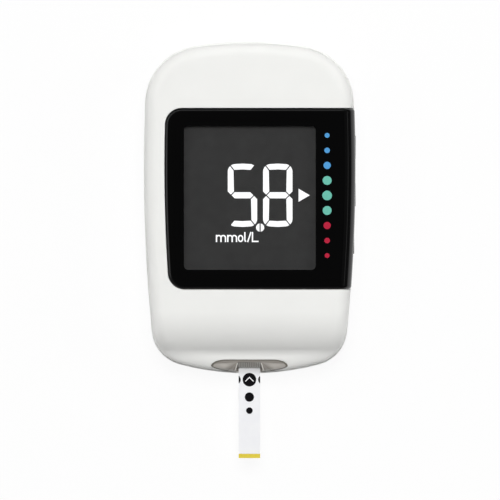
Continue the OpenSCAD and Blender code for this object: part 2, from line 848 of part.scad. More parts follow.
switch_w = 1.5;
switch_l = 3.6;
switch_rise = 1.0;
plunger_r = 0.5;
plunger_hole = 1.3;
module switch_at(i) {
    y = buttons_y[i];
    color([0.25, 0.25, 0.26]) difference() {
        box(switch_x(y) - switch_w, switch_x(y), y - switch_l/2, y + switch_l/2,
            board_top, button_z + switch_rise);
        translate([switch_x(y) - plunger_hole, y, button_z]) rotate([0, 90, 0])
            cylinder(r = plunger_r + touch, h = plunger_hole + over);
    }
}

module plunger_at(i) {
    y = buttons_y[i];
    x0 = switch_x(y) - plunger_hole + button_travel + 2*touch;
    x1 = flange_x(y) - flange_t - touch;
    color([0.85, 0.84, 0.8]) translate([x0, y, button_z])
        rotate([0, 90, 0]) cylinder(r = plunger_r, h = x1 - x0);
}

module button_at(i) {
    x = flange_x(buttons_y[i]);
    color([0.04, 0.04, 0.04]) translate([0, buttons_y[i], button_z]) {
        side_slug(button_l, button_w, x - flange_t/2, button_face_x[i]);
        side_slug(button_l + 2*flange_rim, button_w + 2*flange_rim, x - flange_t, x);
    }
}

module power_button() { button_at(0); }
module up_button() { button_at(1); }
module down_button() { button_at(2); }
module power_switch() { switch_at(0); }
module up_switch() { switch_at(1); }
module down_switch() { switch_at(2); }
module power_plunger() { plunger_at(0); }
module up_plunger() { plunger_at(1); }
module down_plunger() { plunger_at(2); }

sheet = 0.3;
module usb_socket() {
    color([0.75, 0.76, 0.78]) translate([0, socket_y1, socket_z]) rotate([90, 0, 0]) difference() {
        plate(socket_w, socket_h, socket_r, 0, socket_l);
        plate(socket_w - 2*sheet, socket_h - 2*sheet, socket_r - sheet, -over, socket_l - sheet);
    }
}

tongue_w = 3.8;
tongue_t = 0.6;
tongue_in = 1;
module usb_tongue() {
    color([0.1, 0.1, 0.1]) translate([0, 0, socket_z + tongue_t/3])
        box(-tongue_w/2, tongue_w/2, socket_y1 - socket_l + sheet, socket_y1 - tongue_in,
            -tongue_t/2, tongue_t/2);
}

// ---- Coin cells and their contacts ----

cell_step = 0.5;
cell_rim = 1.2;
module coin_cell(side) {
    color([0.78, 0.78, 0.8]) translate([side*cell_pitch/2, cell_y, cell_z]) {
        cylinder(d = cell_d, h = cell_t - cell_step);
        cylinder(d = cell_d - 2*cell_rim, h = cell_t);
    }
}
module coin_cell_left() { coin_cell(-1); }
module coin_cell_right() { coin_cell(1); }

contact_t = 0.25;
leaf_w = 2.4;
leaf_y0 = room_y0 + 3;
leaf_y1 = cell_y + 3;
dimple_r = 0.9;
rim_w = 4;
rim_y1 = room_y1 - 2*touch;
link_l = 2.3;
leaf_z1 = roof_z - touch;
leaf_z0 = leaf_z1 - contact_t;
tail_z = board_z - touch;

// A leaf on the small face of a cell, with the dimple that touches it
module cell_leaf(x) {
    box(x - leaf_w/2, x + leaf_w/2, leaf_y0, leaf_y1, leaf_z0, leaf_z1);
    translate([x, leaf_y1 - leaf_w/2 - clear, cell_z + cell_t + touch])
        cylinder(r = dimple_r, h = leaf_z0 - cell_z - cell_t);
}

// A strip that touches a cell's rim and runs through the roof to the board
module rim_strip(x, top) {
    box(x - rim_w/2, x + rim_w/2, rim_y1 - contact_t, rim_y1, cell_z + cell_room, top);
}

module minus_contact() {
    x = -cell_pitch/2;
    color([0.82, 0.78, 0.6]) {
        cell_leaf(x);
        box(x - leaf_w/2, x + leaf_w/2, leaf_y0, leaf_y0 + contact_t, leaf_z0, tail_z);
    }
}

module plus_contact() {
    color([0.82, 0.78, 0.6]) rim_strip(cell_pitch/2, tail_z);
}

module bridge_contact() {
    color([0.82, 0.78, 0.6]) {
        cell_leaf(cell_pitch/2);
        rim_strip(-cell_pitch/2, leaf_z1);
        // The link from the left cell's rim to the right cell's leaf, under the roof
        box(-cell_pitch/2 - rim_w/2, -cell_pitch/2 + rim_w/2, rim_y1 - link_l, rim_y1,
            leaf_z0, leaf_z1);
        box(-cell_pitch/2 - rim_w/2, cell_pitch/2 + leaf_w/2, rim_y1 - link_l, rim_y1 - link_l/2,
            leaf_z0, leaf_z1);
        box(cell_pitch/2 - leaf_w/2, cell_pitch/2 + leaf_w/2, leaf_y1 - touch, rim_y1 - link_l/2,
            leaf_z0, leaf_z1);
    }
}

// ---- Strip port, connector and strip ----

strip_y0 = port_y - strip_out;
strip_y1 = strip_y0 + strip_l;
slot_w = strip_w + 2*strip_gap;
slot_z0 = strip_z - 2*touch;
slot_z1 = strip_z1 + strip_gap + touch;
throat_in = 0.3;
throat_y = port_y + port_l - throat_in;
mouth_l = 1.6;
mouth_y = port_y + mouth_l;
tunnel_l = 4.9;
tunnel_y1 = port_y + tunnel_l;
tunnel_wall = 0.8;
tunnel_roof = 0.35;
lip_z = skin_h - lip_drop;
scoop_r = 4.4;
scoop_x = 6;
scoop_y = port_y - 1.9;
scoop_rise = 1.5;
rib_w = 0.16;
rib_h = 0.25;
rib_sunk = 0.1;

module port_surround() {
    color([0.62, 0.6, 0.57]) difference() {
        union() {
            intersection() {
                front_form(-touch, seam_z + touch);
                port_prism(0);
            }
            box(-slot_w/2 - tunnel_wall, slot_w/2 + tunnel_wall, throat_y - throat_in, tunnel_y1,
                seam_z + touch, min(slot_z1 + tunnel_roof, lip_z - front_wall - 2*touch));
        }
        box(-slot_w/2, slot_w/2, port_y - over, tunnel_y1 + over, slot_z0, slot_z1);
        // Sloping throat above the strip
        translate([slot_w/2, 0, 0]) rotate([90, 0, -90]) linear_extrude(slot_w)
            polygon([[-throat_y, far], [-throat_y, lip_z], [-mouth_y, slot_z1 - touch],
                [-mouth_y, slot_z0 + touch], [-port_y + over, slot_z0 + touch],
                [-port_y + over, far]]);
        // Scooped lobes beside the throat
        for (s = [-1, 1]) translate([s*scoop_x, scoop_y, lip_z + scoop_rise]) sphere(scoop_r);
    }
    // Ribs on the slope
    color([0.62, 0.6, 0.57]) for (i = [0 : rib_count - 1])
        translate([(i + 0.5 - rib_count/2)*(slot_w - rib_w)/rib_count + rib_w/2, 0, 0])
            rotate([90, 0, -90]) linear_extrude(rib_w)
                polygon([[-throat_y - rib_sunk, lip_z - rib_h],
                    [-mouth_y - rib_sunk, slot_z1 + rib_sunk],
                    [-mouth_y + rib_h, slot_z1 + rib_sunk],
                    [-throat_y + rib_h, lip_z - rib_h]]);
}

housing_y0 = tunnel_y1 + clear;
housing_l = 8;
housing_wall = 1;
housing_t = 0.25;

module strip_connector() {
    color([0.9, 0.88, 0.82]) difference() {
        box(-slot_w/2 - housing_wall, slot_w/2 + housing_wall, housing_y0, housing_y0 + housing_l,
            seam_z + housing_t, board_z - touch/2);
        box(-slot_w/2 - touch, slot_w/2 + touch, housing_y0 - over,
            housing_y0 + housing_l + over, slot_z0 - touch, board_z - housing_t);
    }
}

terminal_count = 5;
terminal_pitch = 0.85;
terminal_w = 0.4;
terminal_y = housing_y0 + 3.2;
function terminal_x(i) = (i - (terminal_count - 1)/2)*terminal_pitch;
module strip_terminals() {
    color([0.85, 0.7, 0.35]) for (i = [0 : terminal_count - 1])
        translate([terminal_x(i) - terminal_w/2, 0, 0]) {
            box(0, terminal_w, housing_y0 + housing_wall, housing_y0 + housing_l - housing_wall,
                board_z - 2*housing_t, board_z - housing_t);
            box(0, terminal_w, terminal_y, terminal_y + terminal_w,
                strip_z1 + 2*touch, board_z - housing_t);
        }
}

port_led_w = 1.6;
port_led_l = 0.8;
port_led_t = 0.6;
module port_led() {
    color([1, 0.95, 0.8]) for (s = [-1, 1])
        translate([s*(port_w/2 - 2.5), board_y0 + 1.5*port_led_l, 0])
            plate(port_led_w, port_led_l, 0.1, board_z - port_led_t, board_z);
}

finger_w = 2.6;
finger_t = 0.4;
finger_gap = 0.2;
arm_y1 = eject_y - thumb_l/2;
arm_w = 2.4;
slider_room = 1.6;
slider_t = 0.9;
plate_x0 = -track_x + track_wall + thumb_gap;
plate_x1 = plate_x0 + slider_t;
arm_rise = 0.65;
arm_drop = 0.55;
arm_z0 = seam_z + arm_rise;
arm_z1 = board_z - arm_drop;
grip_r = 0.4;
grip_count = 4;

module ejector_slider() {
    y0 = eject_y - thumb_l;
    thumb_x = side_x(y0) - touch;
    color([0.9, 0.9, 0.88]) {
        difference() {
            box(-thumb_x, -track_x - 2*touch, y0, eject_y, thumb_z - thumb_w/2, thumb_z + thumb_w/2);
            // Grip grooves
            for (i = [1 : grip_count])
                translate([-thumb_x, y0 + thumb_l*i/(grip_count + 1), 0])
                    cylinder(r = grip_r, h = 2*thumb_z, $fn = 24);
        }
        box(-track_x - 4*touch, plate_x1, y0 + neck_in + thumb_gap, eject_y - neck_in - thumb_gap,
            thumb_z - neck_w/2, thumb_z + neck_w/2);
        box(plate_x0, plate_x1, y0, eject_y, arm_z0, thumb_z + thumb_w/2);
    }
}

module ejector_arm() {
    color([0.82, 0.82, 0.8]) {
        box(plate_x1, finger_w/2, arm_y1 - arm_w, arm_y1, arm_z0, arm_z1);
        box(-finger_w/2, finger_w/2, strip_y1 + finger_gap, arm_y1 - arm_w/2,
            strip_z, strip_z + finger_t);
    }
}

// Compression spring between the arm and the stop on the back
spring_r = 0.65;
wire_r = 0.12;
spring_turns = 9;
spring_drop = 0.2;
spring_z = (arm_z0 + arm_z1)/2 - spring_drop;
turn_steps = 12;
wire_sides = 6;
module ejector_spring() {
    y0 = spring_y0 + wire_r + touch;
    y1 = arm_y1 - arm_w - wire_r - touch;
    n = spring_turns*turn_steps;
    points = [for (i = [0 : n], k = [0 : wire_sides - 1])
        let(t = 360*i/turn_steps, a = 360*k/wire_sides, r = spring_r + wire_r*cos(a))
        [spring_x + r*cos(t), y0 + (y1 - y0)*i/n + wire_r*sin(a), spring_z + r*sin(t)]];
    walls = [for (i = [0 : n - 1], k = [0 : wire_sides - 1])
        let(a = i*wire_sides + k, b = i*wire_sides + (k + 1) % wire_sides)
        each [[a, b, b + wire_sides], [a, b + wire_sides, a + wire_sides]]];
    first = [for (k = [wire_sides - 1 : -1 : 0]) k];
    last = [for (k = [0 : wire_sides - 1]) n*wire_sides + k];
    color([0.7, 0.7, 0.72]) polyhedron(points, concat(walls, [first, last]));
}

module test_strip() {
    color([0.95, 0.95, 0.95])
        box(-strip_w/2, strip_w/2, strip_y0 + dose_l, strip_y1, strip_z, strip_z1);
}

module strip_dose_edge() {
    color([0.91, 0.83, 0.3])
        box(-strip_w/2, strip_w/2, strip_y0, strip_y0 + dose_l, strip_z, strip_z1);
}

electrode_w = 0.56;
electrode_l = 6;
module strip_electrodes() {
    color([0.85, 0.7, 0.35]) for (i = [0 : terminal_count - 1])
        translate([terminal_x(i) - electrode_w/2, 0, 0])
            box(0, electrode_w, strip_y1 - electrode_l, strip_y1, strip_z1, strip_z1 + mark_t);
}

// Printed marks: a ring of black round a chevron, two dots, and half dots at the edges
mark_y = [1.45, 5.5, 8.65];
mark_r = [1.58, 1.08, 0.77];
edge_mark_r = 1.1;
edge_mark_in = 0.47;
chevron_l = 1.45;
chevron_w = 0.22;
chevron_y = 0.55;
module strip_marks() {
    color([0.1, 0.09, 0.1]) translate([0, 0, strip_z1]) linear_extrude(mark_t) difference() {
        union() {
            for (i = [0 : 2]) translate([0, port_y - mark_y[i]]) circle(mark_r[i]);
            for (s = [-1, 1]) intersection() {
                translate([s*(strip_w/2 + edge_mark_r - edge_mark_in), port_y - mark_y[0]])
                    circle(edge_mark_r);
                translate([s*strip_w/4, port_y - mark_y[0]])
                    square([strip_w/2, 4*edge_mark_r], center = true);
            }
        }
        for (s = [-1, 1]) translate([0, port_y - mark_y[0] + chevron_y]) rotate(s*45 - 90)
            translate([-chevron_w/2, -chevron_w/2]) square([chevron_l, chevron_w]);
    }
}

// ---- Screws ----

cross_l = 2;
cross_w = 0.4;
cross_t = 0.5;
module case_screws() {
    color([0.6, 0.6, 0.62]) for (p = screw_places) translate([p.x, p.y, head_sunk]) {
        difference() {
            cylinder(r = head_r, h = head_t);
            for (a = [0, 90]) rotate(a)
                translate([-cross_l/2, -cross_w/2, -over]) cube([cross_l, cross_w, over + cross_t]);
        }
        translate([0, 0, cross_t]) cylinder(r = shank_r, h = seam_z + pilot_l - 2*cross_t - head_sunk);
    }
}

front_shell();
rear_shell();
battery_door();
display_panel();
display_lens();
port_surround();
case_screws();
power_button();
up_button();
down_button();
power_switch();
up_switch();
down_switch();
power_plunger();
up_plunger();
down_plunger();
lcd_glass();
lcd_digits();
lcd_pointer();
range_dots_high();
range_dots_target();
range_dots_low();
lcd_holder();
light_guide();
reflector_film();
backlight_leds();
elastomer_connector();
circuit_board();
processor_chip();
radio_module();
quartz_crystal();
capacitors();
usb_socket();
usb_tongue();
coin_cell_left();
coin_cell_right();
minus_contact();
plus_contact();
bridge_contact();
strip_connector();
strip_terminals();
port_led();
ejector_slider();
ejector_arm();
ejector_spring();
test_strip();
strip_electrodes();
strip_dose_edge();
strip_marks();
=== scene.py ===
# A blood glucose meter with a test strip in its port, seen from straight above.
# Lengths are in millimetres in this script and are scaled to metres where a mesh is made.

import json
import math

import bmesh
import bpy
from mathutils import Euler, Matrix, Vector

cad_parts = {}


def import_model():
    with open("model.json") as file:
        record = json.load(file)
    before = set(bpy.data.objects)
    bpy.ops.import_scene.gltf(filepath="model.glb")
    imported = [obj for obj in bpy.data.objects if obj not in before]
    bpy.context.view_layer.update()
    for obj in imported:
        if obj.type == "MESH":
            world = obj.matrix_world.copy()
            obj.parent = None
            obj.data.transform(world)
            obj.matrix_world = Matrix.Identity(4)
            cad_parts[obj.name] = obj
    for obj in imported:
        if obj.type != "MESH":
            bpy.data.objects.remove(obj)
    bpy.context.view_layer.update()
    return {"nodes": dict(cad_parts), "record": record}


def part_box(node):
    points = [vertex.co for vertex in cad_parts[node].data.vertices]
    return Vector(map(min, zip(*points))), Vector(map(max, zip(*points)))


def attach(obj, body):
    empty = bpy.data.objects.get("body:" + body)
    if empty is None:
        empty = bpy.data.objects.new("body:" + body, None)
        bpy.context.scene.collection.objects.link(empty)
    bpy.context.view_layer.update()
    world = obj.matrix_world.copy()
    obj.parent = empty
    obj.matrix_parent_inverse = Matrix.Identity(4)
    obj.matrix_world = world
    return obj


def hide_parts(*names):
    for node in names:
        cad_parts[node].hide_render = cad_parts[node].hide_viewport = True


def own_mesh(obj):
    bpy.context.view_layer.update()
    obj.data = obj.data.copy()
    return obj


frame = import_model()
record = frame["record"]
SLOTS = {part["node"]: part["material_slot"] for part in record["subparts"]}
BODIES = {node: body for body, nodes in record["behaviour"]["bodies"].items() for node in nodes}
MM = 0.001


# ---- Sizes, in millimetres ----

def size_of(node):
    """Lowest and highest corner of a CAD node, in millimetres."""
    low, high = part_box(node)
    return low / MM, high / MM


shell_low, shell_high = size_of("front_shell")
panel_high = size_of("display_panel")[1]
lens_low, lens_high = size_of("display_lens")
socket_low, socket_high = size_of("usb_socket")

case_w = shell_high.x - shell_low.x
case_l = shell_high.y - shell_low.y
case_h = panel_high.z
seam_z = shell_low.z
top_y = case_l / 2
port_y = -case_l / 2
panel_proud = 0.2
skin_h = case_h - panel_proud
front_wall = 2.0

# A cutting form reaches this far past what it cuts, or up to a height clear above the case
over = 1
high_up = 30

# Outline: side, crown and corner arcs, and how the front's edge is rounded
widest_y = 9.6
side_r = 400
top_crown_r = 83
top_corner_r = 13.5
port_crown_r = 63.5
port_corner_r = 8.75
front_edge_r = 2.8
draft = 0.3

# The front bends down at the chin, and out again at the hollow, to the lip over the port
chin_l = 14.1
chin_r = 11.4
chin_slope = math.radians(50)
hollow_r = 3.2
lip_slope = math.radians(10)

# Display panel, which wraps over the right side
panel_t = 1.2
panel_y0 = -19.02
panel_y1 = 23.1
panel_inset = 4.76
panel_corner_r = 3.9
panel_gap = 0.05
panel_round = 0.8
panel_side_r = 3.0

# Window in the panel
window_x = 0.1
window_y = (lens_low.y + lens_high.y) / 2 - 0.1
window_w = lens_high.x - lens_low.x
window_h = lens_high.y - lens_low.y
window_r = 1.05
window_lap = 0.02
glass_w = window_w + 4.4
glass_h = window_h + 4.4
glass_gap = 0.3

# Buttons on the right side
buttons_y = [14, 3, -8]
button_l = 5.6
button_w = 2.4
button_gap = 0.12
button_z = 10.5

# Range scale: the dots shrink from the middle one to both ends
dot_count = 9
dots_x = 18.06
dots_y = 2.8
dots_pitch = 3.49
dot_r = 1.12
dot_t = 0.3
dot_shrink = 0.5
dot_turn = math.radians(22.5)

# Ejector slider in its track on the left side
eject_y = -7
eject_travel = 7
thumb_l = 7
thumb_w = 2.4
thumb_gap = 0.15
thumb_z = 8.7
track_depth = 0.9

# Opening round the data socket
socket_w = 8.6
socket_h = 3.7
socket_r = 1.2
socket_depth = 4

# Surround of the strip port: round ends above, slender ones below
port_w = 17.8
port_l = 3.0
port_end_w = 3.4
port_end_l = 1.45
port_low_l = 1.7
port_power = 1.29
port_mid_y = port_y + port_l - 1.55


# ---- Outline of the case: tangent arcs, clockwise from the top ----

def turn(start, end):
    return math.atan2(end.y - start.y, end.x - start.x)


def arc(centre, radius, start, end, steps, close=False):
    """Points on an arc between two angles; the last one is there only if close is set."""
    count = steps + 1 if close else steps
    turns = [start + (end - start) * i / steps for i in range(count)]
    return [centre + radius * Vector((math.cos(t), math.sin(t))) for t in turns]


SIDE_CENTRE = Vector((case_w / 2 - side_r, widest_y))
TOP_CENTRE = Vector((0, top_y - top_crown_r))
PORT_CENTRE = Vector((0, port_y + port_crown_r))


def corner_centre(crown_centre, crown_r, corner_r, end):
    """Centre of the corner arc that touches the side arc and a crown arc."""
    ra = side_r - corner_r
    rb = crown_r - corner_r
    way = crown_centre - SIDE_CENTRE
    u = way.normalized()
    along = (ra**2 - rb**2 + way.length**2) / (2 * way.length)
    across = math.sqrt(ra**2 - along**2)
    return SIDE_CENTRE + along * u + end * across * Vector((-u.y, u.x))


TOP_CORNER = corner_centre(TOP_CENTRE, top_crown_r, top_corner_r, 1)
PORT_CORNER = corner_centre(PORT_CENTRE, port_crown_r, port_corner_r, -1)
chin_y = port_y + chin_l


def half_outline(inset, fine):
    """Right half of the outline, drawn in by inset, with its points close in the chin."""
    crown, corner, level, chin = (16, 24, 12, 14) if fine else (5, 7, 6, 4)
    side_top = turn(SIDE_CENTRE, TOP_CORNER)
    side_chin = math.asin((chin_y - widest_y) / side_r)
    side_port = turn(SIDE_CENTRE, PORT_CORNER)
    top_turn = turn(TOP_CENTRE, TOP_CORNER)
    port_turn = turn(PORT_CENTRE, PORT_CORNER)
    return (
        arc(TOP_CENTRE, top_crown_r - inset, math.pi / 2, top_turn, crown)
        + arc(TOP_CORNER, top_corner_r - inset, top_turn, side_top, corner)
        + arc(SIDE_CENTRE, side_r - inset, side_top, side_chin, level)
        + arc(SIDE_CENTRE, side_r - inset, side_chin, side_port, chin)
        + arc(PORT_CORNER, port_corner_r - inset, side_port, port_turn, corner)
        + arc(PORT_CENTRE, port_crown_r - inset, port_turn, -math.pi / 2, crown)
        + [Vector((0, port_y + inset))]
    )


def outline(inset, fine=True):
    half = half_outline(inset, fine)
    return half + [Vector((-p.x, p.y)) for p in half[-2:0:-1]]


def side_x(y, inset=0):
    """Half width of the case at y, drawn in by inset, on the side arc."""
    return SIDE_CENTRE.x + math.sqrt((side_r - inset) ** 2 - (y - widest_y) ** 2)


chin_end = chin_r * math.sin(chin_slope)
lip_l = chin_end + hollow_r * (math.sin(chin_slope) - math.sin(lip_slope))
lip_drop = chin_r * (1 - math.cos(chin_slope)) + hollow_r * (
    math.cos(lip_slope) - math.cos(chin_slope))


def front_z(y):
    """Height of the white front: level, then the chin, then the gently sloping lip."""
    t = chin_y - y
    if t <= 0:
        return skin_h
    if t <= chin_end:
        return skin_h - chin_r + math.sqrt(chin_r**2 - t**2)
    if t <= lip_l:
        s = hollow_r * math.sin(lip_slope) + lip_l - t
        return skin_h - lip_drop + hollow_r * math.cos(lip_slope) - math.sqrt(hollow_r**2 - s**2)
    return skin_h - lip_drop - (t - lip_l) * math.tan(lip_slope)


def front_rings(grow, low, fine=True):
    """Rings of the front form above the seam, grown outwards by grow, down to z = low."""
    edge = front_edge_r + grow
    top = skin_h + grow
    base = outline(-grow, fine)
    rings = [[(p.x, p.y, low) for p in base]]
    if low < seam_z:
        rings.append([(p.x, p.y, seam_z) for p in base])
    edge_steps = 12 if fine else 5
    for k in range(edge_steps + 1):
        t = math.pi / 2 * k / edge_steps
        inset = draft + edge * (1 - math.cos(t)) - grow
        part = (top - edge + edge * math.sin(t) - seam_z) / (top - seam_z)
        rings.append([
            (p.x, p.y, seam_z + (front_z(p.y) + grow - seam_z) * part)
            for p in outline(inset, fine)
        ])
    return rings


# ---- Mesh helpers ----

def link(name, data):
    piece = bpy.data.objects.new(name, data)
    bpy.context.scene.collection.objects.link(piece)
    return piece


def mesh_piece(name, points, faces):
    """A mesh from points in millimetres, with its faces turned outwards."""
    mesh = bpy.data.meshes.new(name)
    mesh.from_pydata([Vector(p) * MM for p in points], [], faces)
    work = bmesh.new()
    work.from_mesh(mesh)
    bmesh.ops.recalc_face_normals(work, faces=work.faces)
    work.to_mesh(mesh)
    work.free()
    return link(name, mesh)


def join_rings(name, rings, cap=None):
    """Joins rings of equal point count; cap gives the last ring's faces, else one face."""
    count = len(rings[0])
    points = [p for ring in rings for p in ring]
    faces = []
    for j in range(len(rings) - 1):
        for i in range(count):
            a = j * count + i
            b = j * count + (i + 1) % count
            faces.append((a, b, b + count, a + count))
    faces.append(tuple(range(count))[::-1])
    last = (len(rings) - 1) * count
    if cap:
        faces += [tuple(last + i for i in face) for face in cap(count)]
    else:
        faces.append(tuple(range(last, last + count)))
    return mesh_piece(name, points, faces)


def level_strips(count):
    """Faces that join the mirrored points of an outline, so each strip lies along X."""
    half = count // 2
    faces = [(0, 1, count - 1), (half - 1, half, half + 1)]
    for i in range(1, half - 1):
        faces.append((i, i + 1, count - i - 1, count - i))
    return faces


def prism(name, plan, low, high):
    """An outline of 2D points between two heights."""
    return join_rings(name, [[(p[0], p[1], z) for p in plan] for z in (low, high)])


def box(name, x, y, z):
    plan = [(x[0], y[0]), (x[1], y[0]), (x[1], y[1]), (x[0], y[1])]
    return prism(name, plan, *z)


def rounded_plan(w, h, r, centre=(0, 0)):
    """A rectangle with round corners, anticlockwise."""
    points = []
    for k, (sx, sy) in enumerate([(1, 1), (-1, 1), (-1, -1), (1, -1)]):
        corner = Vector((centre[0] + sx * (w / 2 - r), centre[1] + sy * (h / 2 - r)))
        start = math.pi / 2 * k
        points += arc(corner, r, start, start + math.pi / 2, 8, close=True)
    return points


def circle_plan(centre, r, steps=48):
    return arc(Vector(centre), r, 0, 2 * math.pi, steps)


def turned(piece, angles, place):
    """Turns a piece and puts it in place, in its mesh."""
    spin = Euler([math.radians(a) for a in angles]).to_matrix().to_4x4()
    piece.data.transform(Matrix.Translation(Vector(place) * MM) @ spin)
    return piece


def settle(piece):
    """Puts the result of a piece's modifiers into its mesh."""
    graph = bpy.context.evaluated_depsgraph_get()
    mesh = bpy.data.meshes.new_from_object(piece.evaluated_get(graph))
    piece.modifiers.clear()
    piece.data = mesh


def combine(piece, operation, *tools):
    """Exact booleans of a piece with each tool in turn; the tools are used up."""
    for tool in tools:
        step = piece.modifiers.new(operation, "BOOLEAN")
        step.operation = operation
        step.solver = "EXACT"
        step.object = tool
    settle(piece)
    for tool in tools:
        bpy.data.objects.remove(tool)
    return piece


def cut(piece, *tools):
    return combine(piece, "DIFFERENCE", *tools)


def smooth(piece, angle=30):
    """Smooth shading, with the edges steeper than angle kept sharp."""
    mesh = piece.data
    mesh.shade_smooth()
    mesh.set_sharp_from_angle(angle=math.radians(angle))
    normals = piece.modifiers.new("normals", "WEIGHTED_NORMAL")
    normals.keep_sharp = True
    normals.weight = 80
    return piece


def dress(piece, node, material):
    """Gives a new piece its material in a slot and its body, and hides the node that it stands for.
    """
    piece.data.materials.clear()
    piece.data.materials.append(material)
    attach(piece, BODIES[node])
    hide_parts(node)
    return piece


def detail(piece, material, slot):
    """A piece on the meter that adds to the nodes and stands for none."""
    piece.data.materials.append(material)
    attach(piece, "meter")


def refined(node, material, rounding):
    """A copy of a CAD node with its sharp edges rounded and its curves shaded smooth."""
    piece = link(node + "_skin", frame["nodes"][node].data.copy())
    work = bmesh.new()
    work.from_mesh(piece.data)
    bmesh.ops.remove_doubles(work, verts=work.verts, dist=0.002 * MM)
    bmesh.ops.dissolve_limit(
        work, angle_limit=math.radians(1), verts=work.verts, edges=work.edges)
    work.to_mesh(piece.data)
    work.free()
    if rounding:
        step = piece.modifiers.new("rounding", "BEVEL")
        step.width = rounding * MM
        step.segments = 2
        step.limit_method = "ANGLE"
        step.angle_limit = math.radians(35)
        step.harden_normals = False
        settle(piece)
    smooth(piece)
    return dress(piece, node, material)


# ---- Materials ----

class Nodes:
    """The node tree of a new material or world, built step by step."""

    def __init__(self, owner, output="OutputMaterial"):
        self.owner = owner
        owner.use_nodes = True
        self.tree = owner.node_tree
        self.tree.nodes.clear()
        self.out = self.add(output)

    def add(self, kind, links=None, **values):
        node = self.tree.nodes.new("ShaderNode" + kind)
        for key, value in values.items():
            setattr(node, key, value)
        for key, source in (links or {}).items():
            self.put(node, key, source)
        return node

    def put(self, node, key, source):
        """Sets an input to a value, or links it to another node's output."""
        if isinstance(source, bpy.types.NodeSocket):
            self.tree.links.new(source, node.inputs[key])
        else:
            node.inputs[key].default_value = source

    def place(self):
        return self.add("TexCoord").outputs["Object"]

    def maths(self, operation, *values, **settings):
        links = dict(enumerate(values))
        return self.add("Math", links, operation=operation, **settings).outputs[0]

    def step(self, value, start, end, low=0.0, high=1.0):
        """A soft step from low at start to high at end."""
        return self.add("MapRange", {
            "Value": value, "From Min": start, "From Max": end, "To Min": low, "To Max": high,
        }, interpolation_type="SMOOTHSTEP").outputs["Result"]

    def noise(self, scale, detail=2.0):
        """Noise with its grain given in grains per millimetre."""
        return self.add("TexNoise", {
            "Vector": self.place(), "Scale": scale / MM, "Detail": detail}).outputs["Fac"]

    def spread(self, value, low, high):
        """Maps 0.3 to 0.7, where most noise lies, to a range."""
        return self.add("MapRange", {
            "Value": value, "From Min": 0.3, "From Max": 0.7, "To Min": low, "To Max": high,
        }).outputs["Result"]

    def mix(self, factor, a, b):
        node = self.add("Mix", data_type="RGBA")
        self.put(node, "Factor", factor)
        self.put(node, 6, a)
        self.put(node, 7, b)
        return node.outputs[2]

    def bump(self, height, depth, normal=None):
        """Bump with its depth in millimetres."""
        links = {"Height": height, "Strength": 1.0, "Distance": depth * MM}
        if normal:
            links["Normal"] = normal
        return self.add("Bump", links).outputs["Normal"]

    def rounded(self, radius):
        return self.add("Bevel", {"Radius": radius * MM}, samples=6).outputs["Normal"]

    def blend(self, share, first, second):
        """One shader where share is 0, the other where it is 1."""
        return self.add("MixShader", {0: share, 1: first.outputs[0], 2: second.outputs[0]})

    def finish(self, shader):
        self.tree.links.new(shader.outputs[0], self.out.inputs["Surface"])
        return self.owner


def new_material(name):
    return Nodes(bpy.data.materials.new(name))


def rgba(colour, factor=1.0):
    return tuple(min(1.0, c * factor) for c in colour) + (1.0,)


def moulded(name, colour, roughness, mottle=0.03, grain=6, depth=0.002, soft_edge=0,
            specular=0.5):
    """Moulded plastic: a faint cloudiness, a fine grain and uneven gloss."""
    n = new_material(name)
    cloud = n.noise(0.15, 3.0)
    grains = n.noise(grain, 2.0)
    tint = n.mix(n.spread(cloud, 0, 1), rgba(colour, 1 - mottle), rgba(colour, 1 + mottle))
    edge = n.rounded(soft_edge) if soft_edge else None
    shader = n.add("BsdfPrincipled", {
        "Base Color": tint,
        "Roughness": n.spread(grains, roughness - 0.04, roughness + 0.04),
        "Normal": n.bump(grains, depth, edge),
        "Specular IOR Level": specular,
    })
    return n.finish(shader)


def metal(name, colour, roughness, stretch=(1, 1, 1), depth=0.002):
    """Metal with fine rolling or brushing marks along one direction."""
    n = new_material(name)
    place = n.add("Mapping", {"Vector": n.place(), "Scale": stretch}).outputs[0]
    lines = n.add("TexNoise", {"Vector": place, "Scale": 4 / MM, "Detail": 4.0}).outputs["Fac"]
    tint = n.mix(n.spread(lines, 0, 1), rgba(colour, 0.86), rgba(colour, 1.05))
    shader = n.add("BsdfPrincipled", {
        "Base Color": tint,
        "Metallic": 1.0,
        "Roughness": n.spread(lines, roughness - 0.08, roughness + 0.08),
        "Normal": n.bump(lines, depth),
    })
    return n.finish(shader)


def lit(name, colour, strength):
    """A figure that the backlight shines through."""
    n = new_material(name)
    cloud = n.noise(0.5)
    tint = n.mix(n.spread(cloud, 0, 1), rgba(colour, 0.97), rgba(colour))
    shader = n.add("BsdfPrincipled", {
        "Base Color": (0.02, 0.02, 0.02, 1),
        "Emission Color": tint,
        "Emission Strength": strength,
        "Roughness": 0.6,
        "Specular IOR Level": 0.0,
    })
    return n.finish(shader)


def clear_lens(name):
    """Thin smoked window: mostly clear, with a gloss that depends on the angle."""
    n = new_material(name)
    haze = n.noise(0.4, 3.0)
    tint = n.mix(n.spread(haze, 0, 1), (0.90, 0.90, 0.90, 1), (0.94, 0.94, 0.94, 1))
    clear = n.add("BsdfTransparent", {"Color": tint})
    gloss = n.add("BsdfGlossy", {"Color": (1, 1, 1, 1), "Roughness": 0.06})
    # Only the side that faces the viewer mirrors: the far side would hide what lies below it
    fresnel = n.add("Fresnel", {"IOR": 1.4}).outputs[0]
    front = n.maths("SUBTRACT", 1.0, n.add("NewGeometry").outputs["Backfacing"])
    return n.finish(n.blend(n.maths("MULTIPLY", fresnel, front), clear, gloss))


